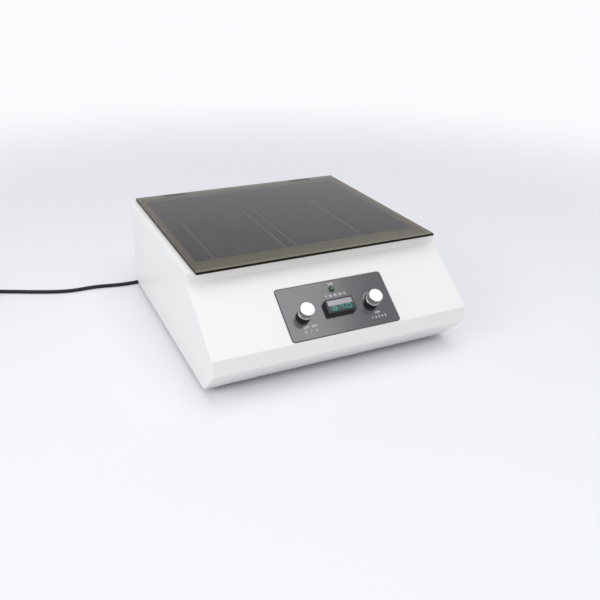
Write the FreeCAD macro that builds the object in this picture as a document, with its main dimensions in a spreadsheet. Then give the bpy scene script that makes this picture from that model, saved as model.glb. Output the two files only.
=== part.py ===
"""Incubated benchtop shaker, modelled in millimetres, one object for each separate piece.

+X is to the right of someone who stands in front, -Y is the front and +Z is up. The origin lies
on the surface that the feet stand on, below the middle of the object's box without its lead.
"""

import FreeCAD, Part
import math
import os
import re

import Sketcher
from FreeCAD import Placement, Rotation, Vector

os.makedirs("parts", exist_ok=True)
doc = FreeCAD.newDocument("IncubatedShaker")
sheet = doc.addObject("Spreadsheet::Sheet", "Size")

# Driving dimensions, piece by piece, in millimetres; counts and angles say so in their names.
SIZES = [
    # Folded casing: side outline from the floor up, then the mouth of the chamber
    ("casing_wide", "440"), ("casing_deep", "472"), ("sheet_thick", "1.5"), ("foot_high", "8"),
    ("undercut_deep", "47"), ("undercut_high", "47"), ("band_high", "27"),
    ("slope_deep", "106"), ("slope_high", "76.5"), ("lip_high", "17"),
    ("fold_round", "2.5"), ("edge_round", "1.2"), ("bottom_return", "12"),
    ("mouth_side_border", "24.5"), ("mouth_front_border", "29.5"), ("mouth_border", "23.5"),
    ("mouth_round", "3.5"),
    ("vent_wide", "4"), ("vent_high", "40"), ("vent_pitch", "9"), ("vent_low", "58"),
    ("vent_from_middle", "62"), ("vent_count", "9"), ("cut_overrun", "3"),
    # Base pan inside the casing's turned-in bottom edges, and its feet
    ("pan_gap", "0.3"), ("pan_wall_high", "12"), ("pan_round", "4"),
    ("foot_inset_side", "36"), ("foot_inset_front", "26"), ("foot_inset_back", "36"),
    ("foot_low_round", "10"), ("foot_top_round", "12"), ("foot_recess_round", "5"),
    ("foot_recess_high", "4.5"),
    ("foot_screw_round", "2"), ("foot_screw_head_round", "4"), ("foot_screw_head_high", "2.4"),
    ("small_screw_round", "1.5"), ("small_screw_head_round", "2.8"),
    ("small_screw_head_high", "1.7"), ("small_screw_long", "6"), ("base_screw_count", "3"),
    # Drawn chamber tray, its seal, heater mat, cut-out and probe
    ("tray_gap", "0.5"), ("tray_thick", "1.2"), ("tray_rim", "10"), ("tray_deep", "66"),
    ("tray_floor_round", "4.8"),
    ("seal_inset", "1"), ("seal_wide", "10"), ("seal_thick", "0.8"),
    ("mat_room", "25.5"), ("mat_thick", "1.5"),
    ("cutout_disc_round", "8"), ("cutout_disc_high", "7"), ("cutout_disc_x", "58"),
    ("cutout_disc_y", "46"), ("tab_wide", "6.3"), ("tab_thick", "0.8"), ("tab_long", "9"),
    ("probe_round", "2"), ("probe_long", "34"), ("probe_from_corner", "27.5"), ("probe_up", "14"),
    ("probe_nut_across", "10"), ("probe_nut_thick", "3"), ("probe_tail", "12"),
    # Lid and its two hinges
    ("lid_side_inset", "11"), ("lid_thick", "4"), ("lid_overhang", "14"), ("lid_gap", "1"),
    ("hinge_long", "42"), ("hinge_from_middle", "134"), ("hinge_round", "3"), ("hinge_gap", "0.3"),
    ("hinge_drop", "1"), ("lid_back_inset", "1.3"),
    ("clip_thick", "0.8"), ("clip_deep", "8"), ("moving_knuckle_long", "18"),
    ("leaf_thick", "1.2"), ("leaf_high", "30"), ("pin_round", "1.5"), ("pin_run_gap", "0.05"),
    ("pin_head_round", "2.2"), ("pin_head_long", "0.8"),
    ("clip_screw_round", "1"), ("clip_screw_head_round", "1.9"), ("clip_screw_head_high", "0.9"),
    ("clip_screw_spread", "28"), ("leaf_screw_spread", "28"), ("leaf_screw_drop", "18"),
    # Control panel on the slope: places are measured up the slope from its lower fold
    ("panel_wide", "188"), ("panel_low", "1"), ("panel_tall", "92.8"), ("panel_thick", "1"),
    ("panel_round", "5.5"), ("row_up", "44"), ("knobs_up", "42"), ("lamp_up", "77"),
    ("heater_from_edge", "32.7"), ("speed_from_edge", "36.7"),
    ("display_wide", "48"), ("display_tall", "24"), ("display_proud", "10"),
    ("display_bevel", "1.4"), ("display_body_wide", "44.6"), ("display_body_tall", "21.8"),
    ("display_body_long", "72"), ("cutout_gap", "0.3"),
    ("window_wide", "42"), ("window_tall", "18.4"), ("window_thick", "1.2"),
    ("lamp_flange_round", "5.2"), ("lamp_flange_high", "1.4"), ("lamp_barrel_round", "4"),
    ("lamp_barrel_long", "18"), ("lamp_lens_round", "3.4"), ("lamp_lens_seat", "3"),
    ("lamp_lens_rise", "2.4"),
    # Switch, potentiometer, spindles and knobs
    ("bush_round", "4.75"), ("bush_hole_gap", "0.25"), ("bush_show", "3.8"), ("nut_across", "14"),
    ("nut_high", "2.5"), ("switch_wide", "28"), ("switch_long", "22"),
    ("pot_round", "12"), ("pot_long", "13"), ("lug_wide", "3"), ("lug_long", "9"),
    ("lug_thick", "0.8"), ("lug_pitch", "5"),
    ("spindle_round", "3"), ("spindle_run_gap", "0.05"), ("spindle_sunk", "6"),
    ("knob_round", "11.2"), ("knob_high", "22.2"), ("knob_gap", "0.6"), ("knob_foot_high", "8"),
    ("knob_foot_flare", "0.4"), ("knob_recess_round", "9.4"), ("knob_recess_gap", "0.6"),
    ("knob_core_round", "9.5"), ("cap_top_thick", "2.6"), ("cap_lip_high", "1.1"),
    ("cap_lip_proud", "0.35"), ("cap_bevel", "0.5"), ("flute_deep", "0.5"),
    ("flute_wide", "0.9"), ("flute_end_gap", "1"), ("flute_count", "40"),
    # Carrier plate, its hubs, and the two plate channels
    ("crank_throw", "2"), ("carrier_side_margin", "3.6"), ("carrier_end_margin", "1"),
    ("carrier_thick", "3"), ("carrier_round", "8"), ("rail_below_top", "33"),
    ("hub_high", "10.5"), ("hub_wall", "5"), ("idler_hub_wall", "3.5"),
    ("idler_x", "115"), ("idler_end_room", "45"),
    ("channel_clear", "128.6"), ("channel_thick", "1.2"), ("channel_end_room", "26.5"),
    ("channel_high", "12"), ("channel_apart", "20.8"), ("hem_high", "4"), ("stop_wide", "46"), ("stop_high", "7"),
    ("channel_screw_in", "11"), ("channel_screw_end", "12"),
    # Ball bearings: bore, outside and width of the three sizes
    ("hub_bearing_bore", "5"), ("hub_bearing_out", "13"), ("hub_bearing_high", "8"),
    ("shaft_bearing_bore", "6"), ("shaft_bearing_out", "16"), ("shaft_bearing_high", "10"),
    ("idler_bearing_bore", "3"), ("idler_bearing_out", "9.5"), ("idler_bearing_high", "6"),
    ("bearing_run_gap", "0.05"), ("open_pivot_gap", "0.3"),
    ("race_wall", "1.5"),
    # Crank drive below the chamber, measured up from the floor
    ("floor_run_gap", "2"), ("disc_high", "5.5"), ("disc_round", "22"), ("arm_round", "11"),
    ("shaft_hole_round", "10"), ("idler_hole_round", "6"), ("mat_hole_gap", "4"),
    ("deck_margin", "15"), ("deck_low", "85"), ("deck_thick", "4"),
    ("deck_round", "10"), ("column_across", "14"), ("column_x", "135"), ("column_end_room", "46.5"),
    ("housing_top", "104"), ("housing_low", "80"), ("housing_round", "21"),
    ("housing_flange_round", "32"), ("housing_flange_high", "4"), ("housing_shoulder", "2"),
    ("idler_housing_round", "13"), ("idler_flange_round", "18"), ("idler_flange_high", "3"),
    ("pulley_low", "66"), ("pulley_high", "12"), ("pulley_flange_high", "1.2"),
    ("pulley_flange_proud", "3"), ("driven_round", "35"), ("driven_rim", "5"),
    ("driven_web_high", "5"), ("driven_hub_round", "14"), ("driven_hole_count", "5"),
    ("motor_pulley_round", "12"), ("belt_thick", "1.6"), ("belt_gap", "0.3"),
    ("weight_low", "54"), ("weight_high", "9"), ("weight_round", "38"), ("weight_hub_round", "13"),
    ("shaft_low", "51"),
    # Motor
    ("motor_x", "115"), ("motor_round", "29"), ("motor_top", "63"), ("motor_long", "48"),
    ("motor_flange_across", "68"), ("motor_flange_high", "3"), ("motor_end_round", "5"),
    ("motor_boss_round", "9"), ("motor_boss_high", "2"), ("motor_shaft_round", "4"),
    ("motor_shaft_sunk", "10"), ("spacer_round", "4.5"), ("spacer_from_middle", "27"),
    # Electrics on the base pan
    ("board_from_side", "108"), ("board_from_front", "111"), ("board_wide", "118"),
    ("board_deep", "72"),
    ("board_thick", "1.6"), ("board_up", "9"), ("standoff_round", "3"), ("board_hole_in", "6"),
    ("relay_wide", "20"), ("relay_deep", "16"), ("relay_high", "16"), ("can_round", "6"),
    ("can_high", "20"), ("sink_wide", "42"), ("sink_deep", "14"), ("sink_high", "24"),
    ("fin_thick", "1.4"), ("fin_count", "7"),
    ("core_from_side", "108"), ("core_wide", "66"), ("core_deep", "28"),
    ("core_high", "56"), ("core_limb", "11"), ("coil_swell", "10"), ("coil_play", "0.5"),
    ("block_from_side", "125"), ("block_from_back", "37"), ("block_wide", "44"),
    ("block_deep", "18"),
    ("block_high", "16"), ("block_well_round", "3.4"), ("block_well_deep", "5"),
    ("block_pole_count", "3"),
    # Mains lead, its gland, put-away coil and plug
    ("gland_x", "-40"), ("gland_up", "34"), ("gland_flange_round", "10"),
    ("gland_flange_thick", "3"), ("gland_body_round", "7"), ("gland_tail_long", "32"),
    ("gland_tip_round", "4.6"), ("gland_nut_thick", "5"), ("gland_nut_across", "20"),
    ("gland_rib_count", "5"), ("gland_rib_deep", "0.8"),
    ("lead_thick", "7"), ("coil_outer_turn", "48.5"), ("coil_pitch", "7.5"),
    ("coil_tail", "23"),
    ("plug_wide", "25"), ("plug_long", "26"), ("plug_neck_long", "16"), ("plug_neck_round", "6"),
    ("plug_round", "3"), ("blade_wide", "6.3"), ("blade_thick", "1.5"), ("blade_long", "17"),
    ("blade_from_middle", "6.35"), ("blade_off", "3"), ("earth_round", "2.4"),
    ("earth_long", "20"), ("earth_off", "6"),
]

# Places and angles that follow from the sizes above.
PLACES = [
    ("front_y", "-(casing_deep + 2 * hinge_round) / 2"),
    ("back_y", "front_y + casing_deep"),
    ("undercut_top", "foot_high + undercut_high"),
    ("slope_foot", "undercut_top + band_high"),
    ("slope_top", "slope_foot + slope_high"),
    ("casing_top", "slope_top + lip_high"),
    ("lip_y", "front_y + slope_deep"),
    ("slope_tilt", "atan(slope_high / slope_deep)"),
    ("undercut_tilt", "atan(undercut_high / undercut_deep)"),
    ("half_wide", "casing_wide / 2"),
    ("mouth_wide", "casing_wide - 2 * mouth_side_border"),
    ("mouth_deep", "casing_deep - slope_deep - mouth_border - mouth_front_border"),
    ("mouth_back", "back_y - mouth_border"),
    ("mouth_front", "mouth_back - mouth_deep"),
    ("mouth_middle", "mouth_back - mouth_deep / 2"),
    ("mouth_half", "mouth_wide / 2"),
    ("pan_low", "foot_high + sheet_thick"),
    ("pan_top", "pan_low + sheet_thick"),
    ("inner_toe", "front_y + (undercut_high - sheet_thick + sheet_thick / cos(undercut_tilt))"
                  " / tan(undercut_tilt)"),
    ("pan_front", "inner_toe + pan_gap"),
    ("pan_back", "back_y - sheet_thick - pan_gap"),
    ("pan_half", "half_wide - sheet_thick - pan_gap"),
    ("foot_x", "half_wide - foot_inset_side"),
    ("foot_front", "front_y + undercut_deep + foot_inset_front"),
    ("foot_back", "back_y - foot_inset_back"),
    ("tray_top", "casing_top - sheet_thick"),
    ("tray_floor", "tray_top - tray_deep"),
    ("tray_low", "tray_floor - tray_thick"),
    ("mat_low", "tray_low - mat_thick"),
    ("lid_low", "casing_top + lid_gap"),
    ("lid_top", "lid_low + lid_thick"),
    ("lid_front", "lip_y - lid_overhang"),
    ("axis_y", "back_y + hinge_round"),
    ("axis_z", "casing_top - hinge_drop"),
    ("lid_back", "back_y - lid_back_inset"),
    ("panel_face", "panel_thick"),
    ("panel_middle", "panel_low + panel_tall / 2"),
    ("nut_top", "panel_thick + nut_high"),
    ("bush_top", "panel_thick + bush_show"),
    ("recess_top", "bush_top + knob_recess_gap"),
    ("knob_low", "panel_thick + knob_gap"),
    ("knob_top", "panel_thick + knob_high"),
    ("cap_low", "panel_thick + knob_foot_high"),
    ("core_top", "knob_top - cap_top_thick"),
    ("carrier_top", "casing_top - rail_below_top - channel_high"),
    ("carrier_low", "carrier_top - carrier_thick"),
    ("hub_low", "carrier_low - hub_high"),
    ("platform_y", "mouth_middle + crank_throw"),
    ("disc_low", "tray_floor + floor_run_gap"),
    ("disc_top", "disc_low + disc_high"),
    ("deck_top", "deck_low + deck_thick"),
    ("pulley_top", "pulley_low + pulley_high"),
    ("channel_long", "mouth_deep - 2 * channel_end_room"),
    ("channel_middle", "(channel_apart + channel_clear) / 2 + channel_thick"),
    ("carrier_wide", "channel_apart + 2 * (channel_clear + 2 * channel_thick + carrier_side_margin)"),
    ("carrier_deep", "channel_long + 2 * carrier_end_margin"),
    ("idler_y", "channel_long / 2 - idler_end_room"),
    ("column_y", "mouth_deep / 2 - column_end_room"),
    ("deck_wide", "2 * (column_x + deck_margin)"),
    ("deck_deep", "2 * (column_y + deck_margin)"),
    ("mat_wide", "mouth_wide - 2 * mat_room"),
    ("mat_deep", "mouth_deep - 2 * mat_room"),
    ("probe_x", "mouth_half - probe_from_corner"),
    ("lid_wide", "casing_wide - 2 * lid_side_inset"),
    ("heater_from_middle", "panel_wide / 2 - heater_from_edge"),
    ("speed_from_middle", "panel_wide / 2 - speed_from_edge"),
    ("gland_end", "back_y + gland_flange_thick + gland_tail_long"),
    ("board_x", "board_from_side - half_wide"),
    ("board_y", "front_y + board_from_front"),
    ("core_x", "half_wide - core_from_side"),
    ("core_y", "front_y + board_from_front"),
    ("block_x", "block_from_side - half_wide"),
    ("block_y", "back_y - block_from_back"),
    ("lead_round", "lead_thick / 2"),
    ("plug_high", "2 * (lead_round + coil_pitch)"),
]

# Points of the free lead, chosen by eye: out of the gland, down to the floor, in behind the
# back left corner and away to the left; its first point is the end of the gland's tail.
LEAD_ROUTE = [
    (-40, 300, 32.5), (-55, 330, 20), (-90, 346, 6.5), (-130, 332, 3.5),
    (-158, 298, 3.5), (-180, 262, 3.5), (-212, 240, 3.5), (-256, 241, 3.5),
    (-303, 252, 3.5), (-352, 249, 3.5), (-407, 270, 3.5), (-461, 296, 3.5), (-516, 319.6, 3.5),
]

NAMES = [name for name, text in SIZES + PLACES]
WORD = re.compile(r"[a-z]+(?:_[a-z]+)+")
for row, (name, text) in enumerate(SIZES + PLACES, 1):
    sheet.set(f"A{row}", name)
    sheet.set(f"B{row}", text if (name, text) in SIZES else "=" + text)
    sheet.setAlias(f"B{row}", name)
doc.recompute()

nodes = []


def bound(text):
    """The text of a size sum, with each name read from the sheet."""
    return WORD.sub(lambda word: "Size." + word.group(), text)


def size(text):
    """The number that a size sum comes to now."""
    found = sheet.evalExpression(bound(text))
    return float(getattr(found, "Value", found))


def tie(thing, path, text):
    """Let one property of a thing follow a size sum."""
    if text != "0":
        thing.setExpression(path, bound(text))


def place(thing, x="0", y="0", z="0"):
    tie(thing, "Placement.Base.x", x)
    tie(thing, "Placement.Base.y", y)
    tie(thing, "Placement.Base.z", z)
    return thing


def turn(thing, axis, degrees):
    thing.Placement = Placement(Vector(), Rotation(Vector(*axis), degrees))
    return thing


def on_slope(thing):
    """Stand a thing on the sloped front: its own Z is the slope's normal, its Y runs up it."""
    turn(thing, (1, 0, 0), size("slope_tilt"))
    place(thing, "0", "front_y", "slope_foot")
    tie(thing, "Placement.Rotation.Angle", "slope_tilt")
    return thing


def keep(thing, name):
    """Name a finished sub-part as a node."""
    thing.Label = name
    nodes.append(thing)
    return thing


def new_body(name):
    return doc.addObject("PartDesign::Body", name)


def new_sketch(body, name, role="XY_Plane", raised="0"):
    """A sketch on one of a body's own planes, raised along that plane's normal."""
    sketch = body.newObject("Sketcher::SketchObject", name)
    plane = [found for found in body.Origin.OriginFeatures if found.Role == role][0]
    sketch.AttachmentSupport = [(plane, "")]
    sketch.MapMode = "FlatFace"
    tie(sketch, "AttachmentOffset.Base.z", raised)
    return sketch


def slope_sketch(body, name):
    """A sketch that lies on the sloped front of the casing."""
    sketch = new_sketch(body, name)
    tilt = Rotation(Vector(1, 0, 0), size("slope_tilt"))
    sketch.AttachmentOffset = Placement(Vector(), tilt)
    tie(sketch, "AttachmentOffset.Base.y", "front_y")
    tie(sketch, "AttachmentOffset.Base.z", "slope_foot")
    tie(sketch, "AttachmentOffset.Rotation.Angle", "slope_tilt")
    return sketch


def hold(sketch, wanted):
    """Add constraints in one go; those that carry a size sum then follow it."""
    made = [Sketcher.Constraint(*parts) for parts, text in wanted]
    numbers = sketch.addConstraint(made)
    for number, (parts, text) in zip(numbers, wanted):
        if text not in ("", "0"):
            sketch.setExpression(f"Constraints[{number}]", bound(text))


def pinned(line, end, spot):
    """What fixes one point of a sketch at a spot given as two size sums."""
    return [((kind, -1, 1, line, end, size(text)), text)
            for kind, text in zip(("DistanceX", "DistanceY"), spot)]


def outline(sketch, corners):
    """A closed outline of straight lines through corners given as size sums."""
    spots = [Vector(size(x), size(y), 0) for x, y in corners]
    first = sketch.GeometryCount
    wanted = []
    for step, (spot, corner) in enumerate(zip(spots, corners)):
        sketch.addGeometry(Part.LineSegment(spot, spots[(step + 1) % len(spots)]))
        after = first + (step + 1) % len(corners)
        wanted.append((("Coincident", first + step, 2, after, 1), ""))
        wanted += pinned(first + step, 1, corner)
    hold(sketch, wanted)


def rectangle(sketch, left, right, low, high):
    outline(sketch, [(left, low), (right, low), (right, high), (left, high)])


def circle(sketch, x, y, radius):
    spot = Vector(size(x), size(y), 0)
    line = sketch.addGeometry(Part.Circle(spot, Vector(0, 0, 1), size(radius)))
    hold(sketch, [(("Radius", line, size(radius)), radius)] + pinned(line, 3, (x, y)))


def rounded(sketch, left, right, low, high, radius):
    """A rectangle with round corners: four arcs, and a line between each two."""
    quarter = math.pi / 2
    corners = [(left, low, "+", "+"), (right, low, "-", "+"), (right, high, "-", "-"),
               (left, high, "+", "-")]
    first = sketch.GeometryCount
    ends, wanted = [], []
    for step, (x, y, in_x, in_y) in enumerate(corners):
        along_x = (f"{x} {in_x} ({radius})", y)
        along_y = (x, f"{y} {in_y} ({radius})")
        ends.append((along_y, along_x) if step % 2 == 0 else (along_x, along_y))
        centre = Vector(size(along_x[0]), size(along_y[1]), 0)
        whole = Part.Circle(centre, Vector(0, 0, 1), size(radius))
        start = math.pi + step * quarter
        sketch.addGeometry(Part.ArcOfCircle(whole, start, start + quarter))
        wanted.append((("Radius", first + step, size(radius)), radius))
    for step in range(len(corners)):
        after = (step + 1) % len(corners)
        start = Vector(*[size(text) for text in ends[step][1]], 0)
        stop = Vector(*[size(text) for text in ends[after][0]], 0)
        line = sketch.addGeometry(Part.LineSegment(start, stop))
        wanted += pinned(line, 1, ends[step][1]) + pinned(line, 2, ends[after][0])
        wanted.append((("Coincident", first + step, 2, line, 1), ""))
        wanted.append((("Coincident", first + after, 1, line, 2), ""))
    hold(sketch, wanted)


def slot(sketch, x, low, high, half):
    """An upright slot with round ends."""
    left, right = f"{x} - {half}", f"{x} + {half}"
    bottom, top = f"{low} + {half}", f"{high} - {half}"
    first = sketch.GeometryCount
    wanted = []
    for y, start in ((top, 0), (bottom, math.pi)):
        whole = Part.Circle(Vector(size(x), size(y), 0), Vector(0, 0, 1), size(half))
        line = sketch.addGeometry(Part.ArcOfCircle(whole, start, start + math.pi))
        wanted.append((("DistanceY", -1, 1, line, 3, size(y)), y))
    for side, start, stop in ((left, top, bottom), (right, bottom, top)):
        spots = [Vector(size(side), size(y), 0) for y in (start, stop)]
        line = sketch.addGeometry(Part.LineSegment(*spots))
        wanted += pinned(line, 1, (side, start)) + pinned(line, 2, (side, stop))
    for arc, end, line, other in ((0, 2, 2, 1), (1, 1, 2, 2), (1, 2, 3, 1), (0, 1, 3, 2)):
        wanted.append((("Coincident", first + arc, end, first + line, other), ""))
    hold(sketch, wanted)


def pad(body, sketch, length, side="One side", reverse=False):
    made = body.newObject("PartDesign::Pad", sketch.Name + "Pad")
    made.Profile = sketch
    made.SideType = side
    made.Reversed = reverse
    tie(made, "Length", length)
    return made


def pocket(body, sketch, depth, side="One side", reverse=False):
    """Cut a sketch out of a body, and make sure that it takes something away."""
    doc.recompute()
    before = body.Shape.Volume
    made = body.newObject("PartDesign::Pocket", sketch.Name + "Cut")
    made.Profile = sketch
    made.SideType = side
    made.Reversed = reverse
    tie(made, "Length", depth)
    doc.recompute()
    if not body.Shape.Volume < before:
        raise ValueError(made.Name + " cuts nothing")
    return made


def soften(body, radius, wanted, kind="Fillet"):
    """Round or bevel the edges of a body that the test picks out."""
    doc.recompute()
    last = body.Tip
    names = [f"Edge{n}" for n, edge in enumerate(last.Shape.Edges, 1) if wanted(edge)]
    made = body.newObject("PartDesign::" + kind, last.Name + kind)
    made.Base = (last, names)
    tie(made, "Radius" if kind == "Fillet" else "Size", radius)
    return made


def runs_along(edge, axis):
    """Whether an edge is a straight line along an axis."""
    if edge.Curve.TypeId != "Part::GeomLine":
        return False
    return edge.tangentAt(edge.FirstParameter).cross(Vector(*axis)).Length < 1e-6


def lies_at(edge, axis, place_text):
    """Whether all of an edge lies at one height along X, Y or Z."""
    low, high = {
        "x": (edge.BoundBox.XMin, edge.BoundBox.XMax),
        "y": (edge.BoundBox.YMin, edge.BoundBox.YMax),
        "z": (edge.BoundBox.ZMin, edge.BoundBox.ZMax),
    }[axis]
    return abs(low - size(place_text)) < 1e-4 and abs(high - size(place_text)) < 1e-4


def turned(name, profile):
    """A body turned about its own Z axis from a profile of radius and height."""
    body = new_body(name)
    sketch = new_sketch(body, name + "Profile", "XZ_Plane")
    outline(sketch, profile)
    made = body.newObject("PartDesign::Revolution", name + "Turn")
    made.Profile = sketch
    made.ReferenceAxis = (sketch, ["V_Axis"])
    made.Angle = 360
    return body


def screw(name, shank, head, head_high, length):
    """A screw with its seat at its own origin, its head above and its shank below."""
    return turned(name, [
        ("0", f"-({length})"), (shank, f"-({length})"), (shank, "0"), (head, "0"),
        (head, head_high), ("0", head_high),
    ])


def grouped(name, members):
    """Several separate solids of one kind, as one sub-part."""
    group = doc.addObject("Part::Compound", name + "Group")
    group.Links = members
    return keep(group, name)


def bearing(name, bore, out, width):
    """A sealed ball bearing whose seals lie flush with its races: one plain ring."""
    return turned(name, [(bore, "0"), (out, "0"), (out, width), (bore, width)])


SIDES = (("left", "-"), ("right", "+"))
ENDS = (("front", "-"), ("rear", "+"))
CORNERS = [(end + "_" + side, x, y) for end, y in ENDS for side, x in SIDES]


# Outer casing: one folded sheet with an undercut toe, an upright band, the sloped control front,
# a short lip and a top flange round the chamber's mouth; its bottom edges are turned in.
def holes_in_front(sketch):
    """The openings that the sloped sheet and the panel plate share."""
    rectangle(
        sketch,
        "-display_body_wide / 2 - cutout_gap", "display_body_wide / 2 + cutout_gap",
        "row_up - display_body_tall / 2 - cutout_gap", "row_up + display_body_tall / 2 + cutout_gap",
    )
    circle(sketch, "0", "lamp_up", "lamp_barrel_round + cutout_gap")
    for across in ("-heater_from_middle", "speed_from_middle"):
        circle(sketch, across, "knobs_up", "bush_round + bush_hole_gap")


casing = new_body("Casing")
side_outline = new_sketch(casing, "CasingSide", "YZ_Plane")
outline(side_outline, [
    ("front_y + undercut_deep", "foot_high"), ("back_y", "foot_high"), ("back_y", "casing_top"),
    ("lip_y", "casing_top"), ("lip_y", "slope_top"), ("front_y", "slope_foot"),
    ("front_y", "undercut_top"),
])
pad(casing, side_outline, "casing_wide", "Symmetric")
soften(casing, "fold_round", lambda edge: runs_along(edge, (1, 0, 0))
       and not lies_at(edge, "z", "foot_high"))
soften(casing, "edge_round", lambda edge: (lies_at(edge, "x", "half_wide")
       or lies_at(edge, "x", "-half_wide")) and not lies_at(edge, "z", "foot_high"))
cavity = new_sketch(casing, "CasingCavity", "YZ_Plane")
slope_drop = "sheet_thick * tan(slope_tilt) - sheet_thick / cos(slope_tilt)"
toe_rise = "sheet_thick / cos(undercut_tilt) - sheet_thick * tan(undercut_tilt)"
outline(cavity, [
    ("inner_toe", "pan_low"), ("back_y - sheet_thick", "pan_low"),
    ("back_y - sheet_thick", "tray_top"), ("lip_y + sheet_thick", "tray_top"),
    ("lip_y + sheet_thick", "slope_top + " + slope_drop),
    ("front_y + sheet_thick", "slope_foot + " + slope_drop),
    ("front_y + sheet_thick", "undercut_top + " + toe_rise),
])
pocket(casing, cavity, "casing_wide - 2 * sheet_thick", "Symmetric")
mouth = new_sketch(casing, "CasingMouth", raised="casing_top")
rounded(mouth, "-mouth_half", "mouth_half", "mouth_front", "mouth_back", "mouth_round")
pocket(casing, mouth, "2 * sheet_thick + cut_overrun", "Symmetric")
underside = new_sketch(casing, "CasingUnderside", raised="foot_high")
rectangle(underside, "-half_wide + bottom_return", "half_wide - bottom_return",
          "front_y + undercut_deep + bottom_return", "back_y - bottom_return")
pocket(casing, underside, "2 * sheet_thick + cut_overrun", "Symmetric")
front_holes = slope_sketch(casing, "CasingFrontHoles")
holes_in_front(front_holes)
pocket(casing, front_holes, "2 * sheet_thick + cut_overrun", "Symmetric")

# Back wall: the gland's hole, the hinge screws' holes and two rows of upright vent slots
back_holes = new_sketch(casing, "CasingBackHoles", "XZ_Plane", "-back_y")
for side, sign in SIDES:
    for other, shift in SIDES:
        circle(back_holes, f"{sign}hinge_from_middle {shift} leaf_screw_spread / 2",
               "axis_z - leaf_screw_drop", "small_screw_round")
circle(back_holes, "gland_x", "gland_up", "gland_body_round")
pocket(casing, back_holes, "2 * sheet_thick + cut_overrun", "Symmetric")
for side, sign in SIDES:
    vent = new_sketch(casing, "CasingVent" + side, "XZ_Plane", "-back_y")
    slot(vent, f"{sign}vent_from_middle", "vent_low", "vent_low + vent_high", "vent_wide / 2")
    cut = pocket(casing, vent, "2 * sheet_thick + cut_overrun", "Symmetric")
    row = casing.newObject("PartDesign::LinearPattern", "CasingVents" + side)
    row.Originals = [cut]
    row.Direction = (vent, ["H_Axis"])
    row.Reversed = sign == "-"
    row.Mode = "Spacing"
    tie(row, "Offset", "vent_pitch")
    tie(row, "Occurrences", "vent_count")
    casing.Tip = row

# Holes for the screws that hold the base pan, through the turned-in bottom edges
BASE_SCREWS = []
for side, sign in SIDES:
    for step in range(int(size("base_screw_count"))):
        share = (step + 1 / 2) / int(size("base_screw_count"))
        BASE_SCREWS.append((f"{sign}(half_wide - bottom_return / 2)",
                            f"pan_front + (pan_back - pan_front) * {share}"))
edge_holes = new_sketch(casing, "CasingEdgeHoles", raised="foot_high")
for x, y in BASE_SCREWS:
    circle(edge_holes, x, y, "small_screw_round")
pocket(casing, edge_holes, "2 * sheet_thick + cut_overrun", "Symmetric")
keep(casing, "outer_casing")


# Base pan: a shallow folded tray that rests on the casing's turned-in edges and carries
# the feet below it, and the drive, the board and the transformer above.
pan = new_body("Pan")
pan_outline = new_sketch(pan, "PanOutline", raised="pan_low")
rounded(pan_outline, "-pan_half", "pan_half", "pan_front", "pan_back", "pan_round")
pad(pan, pan_outline, "pan_wall_high")
pan_inside = new_sketch(pan, "PanInside", raised="pan_low + pan_wall_high")
rounded(pan_inside, "-pan_half + sheet_thick", "pan_half - sheet_thick",
        "pan_front + sheet_thick", "pan_back - sheet_thick", "pan_round - sheet_thick")
pocket(pan, pan_inside, "pan_wall_high - sheet_thick")
standoffs = new_sketch(pan, "PanStandoffs", raised="pan_top")
for end, y_sign in ENDS:
    for side, x_sign in SIDES:
        circle(standoffs, f"board_x {x_sign} (board_wide / 2 - board_hole_in)",
               f"board_y {y_sign} (board_deep / 2 - board_hole_in)", "standoff_round")
pad(pan, standoffs, "board_up")
pan_holes = new_sketch(pan, "PanHoles", raised="pan_low")
for x, y in BASE_SCREWS:
    circle(pan_holes, x, y, "small_screw_round")
for side, sign in SIDES:
    for y in ("foot_front", "foot_back"):
        circle(pan_holes, f"{sign}foot_x", y, "foot_screw_round")
pocket(pan, pan_holes, "2 * sheet_thick + cut_overrun", "Symmetric")
keep(pan, "base_pan")

# Four rubber feet, each with a recess for its screw
feet, foot_screws = [], []
for corner, x_sign, y_sign in CORNERS:
    y = "foot_front" if y_sign == "-" else "foot_back"
    foot = turned("Foot" + corner, [
        ("foot_screw_round", "foot_recess_high"), ("foot_recess_round", "foot_recess_high"),
        ("foot_recess_round", "0"), ("foot_low_round", "0"), ("foot_top_round", "pan_low"),
        ("foot_screw_round", "pan_low"),
    ])
    feet.append(place(foot, f"{x_sign}foot_x", y))
    bolt = screw("FootScrew" + corner, "foot_screw_round", "foot_screw_head_round",
                 "foot_screw_head_high", "pan_top - foot_recess_high + sheet_thick")
    turn(bolt, (1, 0, 0), 180)
    foot_screws.append(place(bolt, f"{x_sign}foot_x", y, "foot_recess_high"))
grouped("rubber_feet", feet)
grouped("foot_screws", foot_screws)

# Small screws of one kind: these hold the base pan from below, and more hold the hinge leaves
casing_screws = []
for number, (x, y) in enumerate(BASE_SCREWS):
    bolt = screw(f"BaseScrew{number}", "small_screw_round", "small_screw_head_round",
                 "small_screw_head_high", "small_screw_long")
    turn(bolt, (1, 0, 0), 180)
    casing_screws.append(place(bolt, x, y, "foot_high"))


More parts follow.
